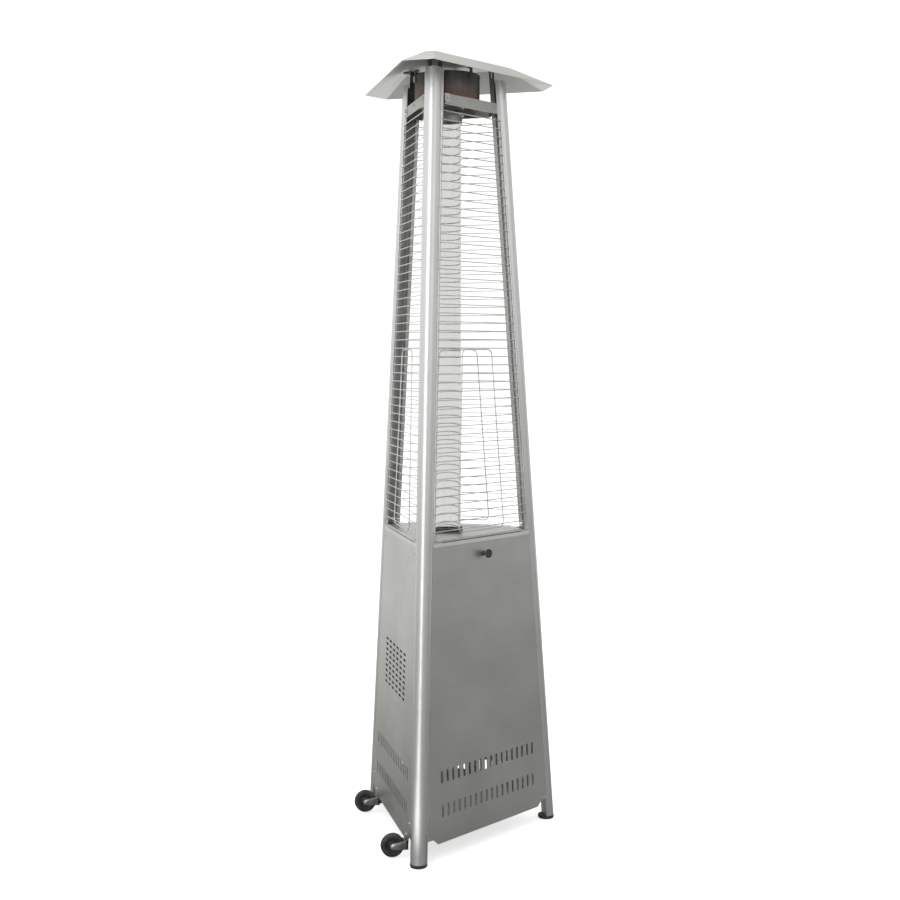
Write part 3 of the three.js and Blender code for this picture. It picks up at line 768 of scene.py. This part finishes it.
def makeGuard(name):
    wires = []
    pitch = (guard["high"] - guard["low"] - 2 * guard["thick"]) / (guard["wires"] - 1)
    for i in range(guard["wires"]):
        z = guard["low"] + guard["thick"] + i * pitch
        edge = guard["shortEdge"] if z < guard["shortBelow"] else guard["edge"]
        half = halfWidth(z) - edge
        wires.append(makeWire(onFace(-half, z, guard["w"]), onFace(half, z, guard["w"]),
                              guard["thick"]))
    for hand in (-1, 1):
        ends = [onFace(hand * (halfWidth(z) - guard["edge"] - guard["sideIn"]), z, guard["w"])
                for z in (guard["sideFoot"], guard["high"])]
        wires.append(makeWire(*ends, guard["side"]))
    piece = joined(wires, name)
    smooth(piece, 50)
    return piece


# the bent brace behind the wires: a closed round-cornered loop of wire
def makeBrace(name):
    points = []
    r = brace["corner"]
    for handT, handZ, start in ((1, -1, -90), (1, 1, 0), (-1, 1, 90), (-1, -1, 180)):
        half, z = ((brace["highHalf"], brace["high"]) if handZ > 0
                   else (brace["lowHalf"], brace["low"]))
        for i in range(brace["cornerSteps"]):
            turn = math.radians(start + 90 / (brace["cornerSteps"] - 1) * i)
            points.append(onFace(handT * (half - r) + r * math.cos(turn),
                                 z - handZ * r + r * math.sin(turn), brace["w"]))
    bpy.ops.curve.primitive_bezier_circle_add(radius=r)
    route = bpy.context.object
    route.data.splines.clear()
    spline = route.data.splines.new("POLY")
    spline.points.add(len(points) - 1)
    for point, place in zip(spline.points, points):
        point.co = (*place, 1)
    spline.use_cyclic_u = True
    route.data.bevel_depth = brace["thick"]
    route.data.bevel_resolution = 3
    pickUp(route)
    bpy.ops.object.convert(target="MESH")
    piece = named(name)
    outwardFaces(piece)
    smooth(piece, 50)
    return piece


guardPlain, bracePlain = makeGuard("guardPlain"), makeBrace("bracePlain")
for side, angle in faceAngles.items():
    wires = copyOf(guardPlain, "guardWires_" + side, faceMatrix(angle))
    finished(wires, "frame", "wire", finish["platedWire"], "guard_" + side)
    loop = copyOf(bracePlain, "guardLoop_" + side, faceMatrix(angle))
    finished(loop, "frame", "wire", finish["platedWire"], "guard_brace_" + side)
discard(guardPlain, bracePlain)
print("guards made")


# what stands on the tower's axis
def onTheAxis(piece, slotName, material, *replaced):
    settle(piece, onAxis)
    return finished(piece, "frame", slotName, material, *replaced)


tube = {"outer": 0.041, "wall": 0.0025, "low": 0.9175, "high": 2.112, "drop": 0.0006,
        "edge": 0.0004}
outer, inner, low, high = tube["outer"], tube["outer"] - tube["wall"], tube["low"], tube["high"]
glass = turned("clearTube", [
    (inner, low), (outer - tube["edge"], low), (outer, low + tube["drop"]),
    (outer, high - tube["drop"]), (outer - tube["edge"], high), (inner, high)], 96, True)
onTheAxis(glass, "glass", finish["tubeGlass"], "glass_tube")

footRing = {"bore": 0.0373, "foot": 0.0460, "waist": 0.0440, "lip": 0.0455, "low": 0.9053,
            "high": 0.9172}
ring = turned("tubeFootRing", [
    (footRing["bore"], footRing["low"]), (footRing["foot"], footRing["low"]),
    (footRing["foot"], 0.9085), (footRing["waist"], 0.9095), (footRing["waist"], 0.9135),
    (footRing["lip"], 0.9145), (footRing["lip"], 0.9165), (0.0448, footRing["high"]),
    (footRing["bore"], footRing["high"])], 72, True)
onTheAxis(ring, "dark_steel", finish["darkSteel"], "tube_seal")

headCollar = {"bore": 0.0424, "bead": 0.0490, "low": 2.0990, "high": 2.1567}
bore, bead = headCollar["bore"], headCollar["bead"]
collar = turned("tubeHeadCollar", [
    (bore, headCollar["low"]), (0.0436, headCollar["low"]), (0.0442, 2.1060), (0.0442, 2.1180),
    (0.0478, 2.1200), (bead, 2.1225), (bead, 2.1270), (0.0478, 2.1290), (0.0452, 2.1310),
    (0.0452, 2.1400), (bead, 2.1430), (bead, headCollar["high"]), (bore, headCollar["high"])],
    72, True)
onTheAxis(collar, "dark_steel", finish["greySteelAndPaintedShade"], "tube_collar")

# two clamp screws with wing nuts on the collar
clampScrew = {"z": 2.125, "out": 0.055, "stud": 0.0026, "studBack": -0.008, "studEnd": 0.014,
              "nut": 0.0055, "turns": {"front": 252, "rear": 72}}
clampWing = {"near": 0.003, "far": 0.012, "half": 0.0012, "low": 0.005, "high": 0.013,
             "edge": 0.0009}
for side, angle in clampScrew["turns"].items():
    radius, back, end = clampScrew["stud"], clampScrew["studBack"], clampScrew["studEnd"]
    stud = turned("clampStud", [(0, back), (radius, back), (radius, end), (0, end)], 16)
    radius = clampScrew["nut"]
    nut = turned("clampNut", [(0, 0.004), (radius, 0.004), (radius, 0.008),
                              (radius - 0.001, 0.010), (0, 0.010)], 20)
    half, low, high = clampWing["half"], clampWing["low"], clampWing["high"]
    wings = [block("clampWing", (near, -half, low), (far, half, high), clampWing["edge"])
             for near, far in ((clampWing["near"], clampWing["far"]),
                               (-clampWing["far"], -clampWing["near"]))]
    clamp = joined([stud, nut, *wings], "tubeClamp_" + side)
    spot = axis + outward(angle) * clampScrew["out"] + Vector((0, 0, clampScrew["z"]))
    settle(clamp, pointedTo(outward(angle), spot))
    finished(clamp, "frame", "dark_steel", finish["darkSteel"])

# the flame screen: a drum with a faint bead at each rim, and a tab above each face
screen = {"radius": 0.095, "wall": 0.0015, "low": 2.1593, "high": 2.234, "bead": 0.0006}
outer, low, high = screen["radius"], screen["low"], screen["high"]
inner, waist = outer - screen["wall"], outer - screen["bead"]
drum = turned("flameScreenDrum", [
    (inner, low), (outer, low), (outer, low + 0.004), (waist, low + 0.005),
    (waist, high - 0.006), (outer, high - 0.005), (outer, high - 0.0005),
    (outer - 0.0005, high), (inner, high)], 112, True)
onTheAxis(drum, "heat_tinted_steel", finish["heatTinted"], "flame_screen")

drumTab = {"half": 0.006, "thick": 0.0012, "drop": 0.022, "rise": 0.013, "lip": 0.012,
           "lipLow": 0.0115, "edge": 0.0004, "out": 0.0015}
for side, angle in faceAngles.items():
    half, rise = drumTab["half"], drumTab["rise"]
    upright = block("drumTab_" + side, (-half, -drumTab["thick"], -drumTab["drop"]),
                    (half, 0.0, rise), drumTab["edge"])
    lip = block("drumTabLip", (-half, -drumTab["lip"], drumTab["lipLow"]), (half, 0.0, rise),
                drumTab["edge"])
    tab = joined([upright, lip], "drumTab_" + side)
    spot = axis + outward(angle) * (screen["radius"] + drumTab["out"])
    settle(tab, turnedTo(angle + 270, spot + Vector((0, 0, screen["high"]))))
    finished(tab, "frame", "dark_steel", finish["darkSteel"])
print("tube and flame screen made")

# the hood: a low three-sided cone of sheet, open below, with its corners cut off
hood = {"rim": 0.310, "rimHalf": 0.044, "rimZ": 2.2175, "top": 0.187, "topHalf": 0.015,
        "topZ": 2.2665, "sheet": 0.0014, "fold": 0.004}
rootThree = math.sqrt(3)
bpy.ops.mesh.primitive_cone_add(
    vertices=3, radius1=hood["rim"] + hood["rimHalf"] * rootThree,
    radius2=hood["top"] + hood["topHalf"] * rootThree, depth=hood["topZ"] - hood["rimZ"],
    location=(0, 0, (hood["rimZ"] + hood["topZ"]) / 2))
cover = settle(named("hoodCover"))
selectFaces(cover, lambda centre, normal: normal.z < -0.9)
bpy.ops.mesh.delete(type="ONLY_FACE")
for angle in cornerAngles.values():
    bpy.ops.mesh.select_all(action="SELECT")
    rise, run = hood["topZ"] - hood["rimZ"], hood["rim"] - hood["top"]
    normal = outward(angle) * rise + Vector((0, 0, run))
    cutAt = outward(angle) * hood["rim"] + Vector((0, 0, hood["rimZ"]))
    bpy.ops.mesh.bisect(plane_co=cutAt, plane_no=normal, use_fill=False, clear_outer=True)
    bpy.ops.mesh.edge_face_add()
outwardFaces(cover)
modify(cover, "SOLIDIFY", thickness=hood["sheet"], offset=-1)
modify(cover, "BEVEL", width=hood["fold"], segments=4, limit_method="ANGLE",
       angle_limit=math.radians(12), use_clamp_overlap=True)
outwardFaces(cover)
smooth(cover, 30)
onTheAxis(cover, "hood_sheet", finish["hoodSheet"], "hood")
print("hood made")

# wheels: each turns on a fixed bolt between the legs of a fork
wheel = {"radius": 0.0335, "half": 0.011, "hub": 0.022, "z": 0.036, "w": 0.057, "along": 0.190}
axleBolt = {"shank": 0.0040, "head": 0.0070, "grip": 0.0048}
fork = {"legOut": 0.00325, "legRadius": 0.009, "legThick": 0.0025, "plateHalf": 0.0045,
        "plateRise": 0.013, "plateThick": 0.0025, "gap": 0.0003, "overlap": 0.001,
        "legEdge": 0.0004, "plateEdge": 0.0006}


def wheelPlace(hand):
    leftAngle = faceAngles["left"]
    out = tower["footRadius"] / 2 - math.tan(tilt) * wheel["z"] + wheel["w"]
    spot = axis + outward(leftAngle) * out + sideways(leftAngle) * hand * wheel["along"]
    return turnedTo(leftAngle + 90, spot + Vector((0, 0, wheel["z"])))


def mirroredProfile(half):
    return half + [(radius, -z) for radius, z in reversed(half)]


r, h, hub = wheel["radius"], wheel["half"], wheel["hub"]
tyreProfile = mirroredProfile([
    (hub + 0.0003, -h + 0.0015), (hub + 0.002, -h + 0.0005), (r - 0.006, -h),
    (r - 0.003, -h + 0.0006), (r - 0.001, -h + 0.0022), (r - 0.0002, -h + 0.0045),
    (r, -h + 0.007)])
centreProfile = mirroredProfile([
    (0.0046, -h - 0.0008), (0.0080, -h - 0.0008), (0.0090, -h), (0.0090, -0.0065),
    (0.0105, -0.0055), (0.0175, -0.0055), (0.0190, -0.0065), (0.0195, -h + 0.0025),
    (0.0215, -h + 0.0018), (hub, -h + 0.003)])
shank, head, grip = axleBolt["shank"], axleBolt["head"], h + axleBolt["grip"]
boltProfile = [
    (0, -grip - 0.0030), (0.0030, -grip - 0.0029), (0.0055, -grip - 0.0022),
    (0.0068, -grip - 0.0010), (head, -grip), (shank, -grip), (shank, grip), (head, grip),
    (head, grip + 0.0012), (0.0055, grip + 0.0024), (0.0030, grip + 0.0030), (0, grip + 0.0030)]


def makeFork(name):
    back = wheel["w"] - sheetBack - fork["gap"]
    plateY, legR = back - fork["plateThick"], fork["legRadius"]
    half, rise = h + fork["plateHalf"], fork["plateRise"]
    legs = []
    for hand in (-1, 1):
        x = hand * (h + fork["legOut"])
        leg = rod("forkLeg", legR, fork["legThick"], 48, (x, 0, 0), alongX)
        selectPoints(leg, lambda co: co.y > 0.0001)
        bpy.ops.transform.resize(value=(1, 0, rise / legR), center_override=(x, 0, 0))
        bpy.ops.transform.translate(value=(0, plateY + fork["overlap"], 0))
        outwardFaces(leg)
        roundEdges(leg, fork["legEdge"])
        legs.append(leg)
    plate = block("forkPlate", (-half, plateY, -rise), (half, back, rise), fork["plateEdge"])
    piece = joined([*legs, plate], name)
    smooth(piece, 30)
    return piece


for name, hand in (("front", 1), ("rear", -1)):
    here = wheelPlace(hand)
    lying = here @ Matrix.Rotation(math.pi / 2, 4, "Y")
    tyre = turned("rubberTyre_" + name, tyreProfile, 72, True)
    disc = turned("wheelCentre_" + name, centreProfile, 60, True)
    pin = turned("wheelBolt_" + name, boltProfile, 32)
    for piece in (tyre, disc, pin):
        settle(piece, lying)
    forkPiece = settle(makeFork("wheelFork_" + name), here)
    finished(tyre, name + "_wheel", "tyre", finish["blackRubber"], "tyre_" + name)
    finished(disc, name + "_wheel", "black_plastic", finish["blackPlastic"], "hub_" + name)
    finished(pin, "frame", "zinc", finish["zincPlate"], "axle_" + name)
    finished(forkPiece, "frame", "zinc", finish["zincPlate"], "wheel_fork_" + name)
print("wheels made")

# controls on the right-hand side; heights in these profiles are out from the panel
rightAngle = faceAngles["right"]
controlOut = tower["footRadius"] / 2 - math.tan(tilt) * control["z"] + panel["outer"]
controlPlace = faceMatrix(rightAngle)
controlPlace.translation = axis + outward(rightAngle) * controlOut + Vector((0, 0, control["z"]))
atKnob = controlPlace @ Matrix.Translation((control["knobT"], 0, 0))
atButton = controlPlace @ Matrix.Translation((control["buttonT"], 0, 0))

gasDial = {"bore": 0.0045, "boreEnd": 0.0190, "skirt": 0.0220, "top": 0.0240, "notches": 24,
           "notchAt": 0.0197, "notchRadius": 0.0009, "notchLength": 0.014, "notchZ": 0.0205}
skirt, bore = gasDial["skirt"], gasDial["bore"]
dial = turned("gasDial", [
    (0, gasDial["boreEnd"]), (bore, gasDial["boreEnd"]), (bore, 0.0075), (0.0205, 0.0070),
    (skirt, 0.0076), (skirt, 0.0110), (0.0196, 0.0125), (0.0188, 0.0225), (0.0178, 0.0238),
    (0, gasDial["top"])], 96)
notches = []
for i in range(gasDial["notches"]):
    turn = 2 * math.pi * i / gasDial["notches"]
    spot = (gasDial["notchAt"] * math.cos(turn), gasDial["notchAt"] * math.sin(turn),
            gasDial["notchZ"])
    notches.append(rod("notch", gasDial["notchRadius"], gasDial["notchLength"], 8, spot))
notchTool = joined(notches, "notchTool")
pierce(dial, notchTool)
discard(notchTool)
smooth(dial, 30)

dialMark = {"half": 0.0009, "near": 0.004, "far": 0.0165, "low": 0.02385, "high": 0.02400,
            "edge": 0.00005}
pointer = block("dialPointer", (-dialMark["half"], dialMark["near"], dialMark["low"]),
                (dialMark["half"], dialMark["far"], dialMark["high"]), dialMark["edge"], 1)

dialStem = {"radius": 0.004, "back": -0.014, "shoulder": 0.0180, "end": 0.0186}
radius, back = dialStem["radius"], dialStem["back"]
stem = turned("dialStem", [
    (0, back), (radius, back), (radius, dialStem["shoulder"]), (0.0034, dialStem["end"]),
    (0, dialStem["end"])], 32)

sparkButton = {"radius": 0.008, "back": -0.008, "shoulder": 0.0060}
radius, back = sparkButton["radius"], sparkButton["back"]
button = turned("sparkButton", [
    (0, back), (radius, back), (radius, sparkButton["shoulder"]), (0.0074, 0.0075),
    (0.0060, 0.0083), (0.0040, 0.0080), (0, 0.0076)], 40)

valveBody = {"tail": -0.060, "neck": 0.013, "body": 0.017, "cap": 0.0145, "bore": 0.0048,
             "boreEnd": -0.021, "face": -0.0120}
neck, body, cap, bore = (valveBody[part] for part in ("neck", "body", "cap", "bore"))
valve = turned("gasValveBody", [
    (0, valveBody["tail"]), (0.010, valveBody["tail"]), (neck, -0.057), (neck, -0.048),
    (0.0165, -0.045), (body, -0.042), (body, -0.020), (cap, -0.018), (cap, -0.0135),
    (0.0130, valveBody["face"]), (bore, valveBody["face"]), (bore, valveBody["boreEnd"]),
    (0, valveBody["boreEnd"])], 40)

for piece in (dial, pointer, stem, valve):
    settle(piece, atKnob)
settle(button, atButton)
finished(dial, "knob", "black_plastic", finish["blackPlastic"], "control_knob")
finished(pointer, "knob", "ceramic", finish["whiteCeramic"])
finished(stem, "spindle", "brass", finish["brassMetal"], "valve_spindle")
finished(button, "igniter", "black_plastic", finish["redPlastic"], "igniter_button")
finished(valve, "frame", "brass", finish["brassMetal"], "gas_valve")
print("controls made")

# burner inside the foot of the tube
burnerPot = {"pipe": 0.0098, "pot": 0.0260, "tail": 0.8620, "under": 0.9030, "top": 0.9132}
pipe, pot, under = burnerPot["pipe"], burnerPot["pot"], burnerPot["under"]
burner = turned("burnerPot", [
    (0, burnerPot["tail"]), (pipe, burnerPot["tail"]), (pipe, under), (0.0240, under),
    (pot, 0.9040), (pot, 0.9095), (0.0250, 0.9110), (0.0215, 0.9125), (0.0190, 0.9130),
    (0, burnerPot["top"])], 48)
onTheAxis(burner, "dark_steel", finish["darkSteel"], "burner_head")

# the pilot, its sensor and the spark point stand just inside the foot ring
probes = {
    "pilotJet": {"node": "pilot_tube", "turn": 90, "radius": 0.0024, "low": 0.872,
                 "high": 0.9150, "finish": "brassMetal", "slot": "brass"},
    "flameSensor": {"node": "thermocouple", "turn": 270, "radius": 0.0018, "low": 0.868,
                    "high": 0.9140, "finish": "darkSteel", "slot": "dark_steel"},
    "sparkPoint": {"node": "spark_electrode", "turn": 35, "radius": 0.0016, "low": 0.880,
                   "high": 0.9155, "finish": "whiteCeramic", "slot": "ceramic"}}
probeSeat = {"out": 0.031, "ferruleLow": 0.899, "ferruleHigh": 0.9065, "shoulder": 0.9080,
             "foot": ((-0.005, -0.005, 0.9007), (0.025, 0.005, 0.9027)), "edge": 0.0004}
for name, probe in probes.items():
    r, low, high = probe["radius"], probe["low"], probe["high"]
    stick = turned(name, [
        (0, low), (r, low), (r, probeSeat["ferruleLow"]), (r * 1.6, probeSeat["ferruleLow"]),
        (r * 1.6, probeSeat["ferruleHigh"]), (r, probeSeat["shoulder"]), (r, high - r),
        (r * 0.6, high - r * 0.3), (0, high)], 20)
    foot = block("probeFoot", *probeSeat["foot"], probeSeat["edge"])
    stick = joined([stick, foot], name)
    settle(stick, turnedTo(probe["turn"], axis + outward(probe["turn"]) * probeSeat["out"]))
    finished(stick, "frame", probe["slot"], finish[probe["finish"]], probe["node"])

# burner deck: a thin plate with a narrow rim that laps over the posts
deck = {"top": 0.905, "sheet": 0.002, "innerFace": 0.0165, "postGap": 0.0265, "hole": 0.036,
        "rimLow": 0.9015, "rimBack": 0.0193, "rimFront": 0.0203, "rimInset": 0.0150,
        "webInset": 0.052, "webNear": 0.0155, "edge": 0.0003}
apothem = postRadius(deck["top"]) / 2 + deck["innerFace"]
plateMiddle = (0, 0, deck["top"] - deck["sheet"] / 2)
deckPlate = rod("deckPlate", 2 * apothem, deck["sheet"], 3, plateMiddle)
for angle in cornerAngles.values():
    edit(deckPlate)
    bpy.ops.mesh.select_all(action="SELECT")
    bpy.ops.mesh.bisect(plane_co=outward(angle) * (postRadius(deck["top"]) - deck["postGap"]),
                        plane_no=outward(angle), use_fill=True, clear_outer=True)
    bpy.ops.object.mode_set(mode="OBJECT")
deckHole = rod("deckHole", deck["hole"], 0.02, 72, (0, 0, deck["top"]))
pierce(deckPlate, deckHole)
discard(deckHole)
settle(deckPlate, onAxis)
deckParts = [deckPlate]
rimHalf = halfWidth(deck["top"]) - deck["rimInset"]
webHalf = halfWidth(deck["top"]) - deck["webInset"]
lowY, midY, highY = (faceHeight(z, 0.0195)
                     for z in (deck["rimLow"], deck["top"] - deck["sheet"], deck["top"]))
for angle in faceAngles.values():
    rim = block("deckRim", (-rimHalf, lowY, deck["rimBack"]), (rimHalf, highY, deck["rimFront"]),
                deck["edge"])
    bridge = block("deckWeb", (-webHalf, midY, deck["webNear"]),
                   (webHalf, highY - 0.0001, deck["rimBack"] + 0.0002))
    deckParts += [settle(rim, faceMatrix(angle)), settle(bridge, faceMatrix(angle))]
deckPlate = joined(deckParts, "deckPlate")
finished(deckPlate, "frame", "brushed_steel", finish["foldedSheet"], "burner_deck")

# pieces of the frame that keep their shape
keptPieces = {
    "foldedSheet": ("base_plate",),
    "traySheet": ("top_tray",),
    "zincPlate": ("hinge_bracket_left", "hinge_bracket_right", "hood_nut_front_left",
                  "hood_nut_front_right", "hood_nut_rear"),
    "darkSteel": ("door_magnet", "burner_bracket", "hood_bracket_front_left",
                  "hood_bracket_front_right", "hood_bracket_rear", "wheel_mount_front",
                  "wheel_mount_rear"),
    "brassMetal": ("gas_inlet", "gas_pipe"),
    "blackPlastic": ("control_plate", "igniter_body", "tilt_switch"),
}
for finishName, nodeNames in keptPieces.items():
    for nodeName in nodeNames:
        redress(nodeName, finish[finishName])
print("kept pieces dressed")

# the floor glows a little where the camera sees it; to every other ray its colour is painted
# darker in front and lighter behind, a painted reflection and bounce light for the metal above it
floorLook = {"size": 60, "z": -0.0005, "pale": (0.93, 0.93, 0.93, 1),
             "paler": (0.95, 0.95, 0.95, 1), "away": (0.55, 0.65, 0.0), "from": 0.2, "to": 2.8,
             "front": 0.23, "behind": 0.90, "glow": 0.62}
bpy.ops.mesh.primitive_plane_add(size=floorLook["size"], location=(0, 0, floorLook["z"]))
floor = settle(named("paleFloor"))
floorPaint, floorShader = newMaterial("paleFloorPaint", 0.0)
floorShader.inputs["Emission Color"].default_value = (1, 1, 1, 1)
floorGrain = dressed(floorPaint, floorShader, pittedGroup, {
    "Base": floorLook["pale"], "Worn": floorLook["paler"], "Pit Size": 60.0,
    "Smoothest": 0.85, "Roughest": 0.95, "Depth": 0.0})
tree = floorPaint.node_tree
seen, place = addNode(tree, "LightPath"), addNode(tree, "TexCoord")
shade = addNode(tree, "Mix", data_type="RGBA")
glow = addNode(tree, "Math", {1: floorLook["glow"]}, operation="MULTIPLY")
away = addNode(tree, "VectorMath", {1: floorLook["away"]}, operation="DOT_PRODUCT")
# painted reflection: the floor's colour for non-camera rays, dark at the front and pale behind
paintedReflection = addNode(tree, "MapRange", {
    "From Min": floorLook["from"], "From Max": floorLook["to"],
    "To Min": floorLook["front"], "To Max": floorLook["behind"]})
direct = addNode(tree, "Math", operation="MAXIMUM")
wireUp(tree,
       (place, "Object", away, 0), (away, "Value", paintedReflection, "Value"),
       (paintedReflection, "Result", shade, mixLow), (floorGrain, "Color", shade, mixHigh),
       (seen, "Is Camera Ray", direct, 0), (seen, "Is Transmission Ray", direct, 1),
       (direct, 0, shade, "Factor"), (shade, mixed, floorShader, "Base Color"),
       (direct, 0, glow, 0), (glow, 0, floorShader, "Emission Strength"))
floor.data.materials.append(floorPaint)

# the studio: plain white to look at, and a soft grey ramp in reflections
backdrop = {"towards": (-0.62, 0.78, 0.10), "grey": (0.54, 0.54, 0.535, 1),
            "bright": (0.76, 0.76, 0.75, 1), "greyTo": 0.45, "brightFrom": 0.85, "strength": 1.18}
studio = bpy.data.worlds.new("studio")
bpy.context.scene.world = studio
studio.use_nodes = True
tree = studio.node_tree
sky = tree.nodes["Background"]
sky.inputs["Strength"].default_value = backdrop["strength"]
seen, place = addNode(tree, "LightPath"), addNode(tree, "TexCoord")
towards = addNode(tree, "VectorMath", {1: backdrop["towards"]}, operation="DOT_PRODUCT")
spread = addNode(tree, "MapRange", {"From Min": -1.0, "From Max": 1.0})
ramp = addNode(tree, "ValToRGB")
low, high = ramp.color_ramp.elements
low.position, low.color = backdrop["greyTo"], backdrop["grey"]
high.position, high.color = backdrop["brightFrom"], backdrop["bright"]
pick = addNode(tree, "Mix", {mixHigh: (1.0, 1.0, 1.0, 1)}, data_type="RGBA")
direct = addNode(tree, "Math", operation="MAXIMUM")
wireUp(tree,
       (place, "Generated", towards, 0), (towards, "Value", spread, "Value"),
       (spread, "Result", ramp, "Fac"), (seen, "Is Camera Ray", direct, 0),
       (seen, "Is Transmission Ray", direct, 1), (direct, 0, pick, "Factor"),
       (ramp, "Color", pick, mixLow), (pick, mixed, sky, "Color"))

# a lamp is aimed at a height on the tower's axis, or has its turn given: the floor panel lies
# flat and shines up at the posts
lights = {
    "leftSoftbox": {"at": (-2.85, -1.38, 2.1), "size": (0.60, 3.9), "power": 28, "aim": 1.1},
    "frontSoftbox": {"at": (-0.4, -4.6, 2.6), "size": (2.4, 2.4), "power": 9, "aim": 1.1},
    "rearSoftbox": {"at": (2.3, 1.6, 0.3), "size": (1.6, 1.6), "power": 10, "aim": 2.2},
    "overhead": {"at": (0.0, 0.0, 4.6), "size": (3.0, 3.0), "power": 9, "aim": 1.1},
    "floorPanel": {"at": (-1.52, -0.72, 0.03), "size": (0.55, 2.3), "power": 4.5, "turn": -66},
}
for name, choice in lights.items():
    bpy.ops.object.light_add(type="AREA", location=choice["at"])
    light = bpy.context.object
    light.name = name
    light.data.shape = "RECTANGLE"
    light.data.size, light.data.size_y = choice["size"]
    light.data.energy = choice["power"]
    light.visible_camera = False
    light.visible_transmission = False
    if "turn" in choice:
        light.rotation_euler = (math.pi, 0, math.radians(choice["turn"]))
    else:
        aim = Vector((axis.x, axis.y, choice["aim"])) - light.location
        light.rotation_euler = aim.to_track_quat("-Z", "Y").to_euler()

eye = {"from": (-2.7277, -2.7035, 1.4322), "pitch": -4.261, "yaw": 45.376, "lens": 51.88,
       "sensor": 36}
bpy.ops.object.camera_add(
    location=axis + Vector(eye["from"]),
    rotation=(math.radians(90 + eye["pitch"]), 0, math.radians(-eye["yaw"])))
camera = bpy.context.object
camera.name = "viewer"
camera.data.lens = eye["lens"]
camera.data.sensor_width = eye["sensor"]
camera.data.dof.use_dof = False
bpy.context.scene.camera = camera
bpy.context.scene.view_settings.view_transform = "Standard"

deselect()
print("scene ready")
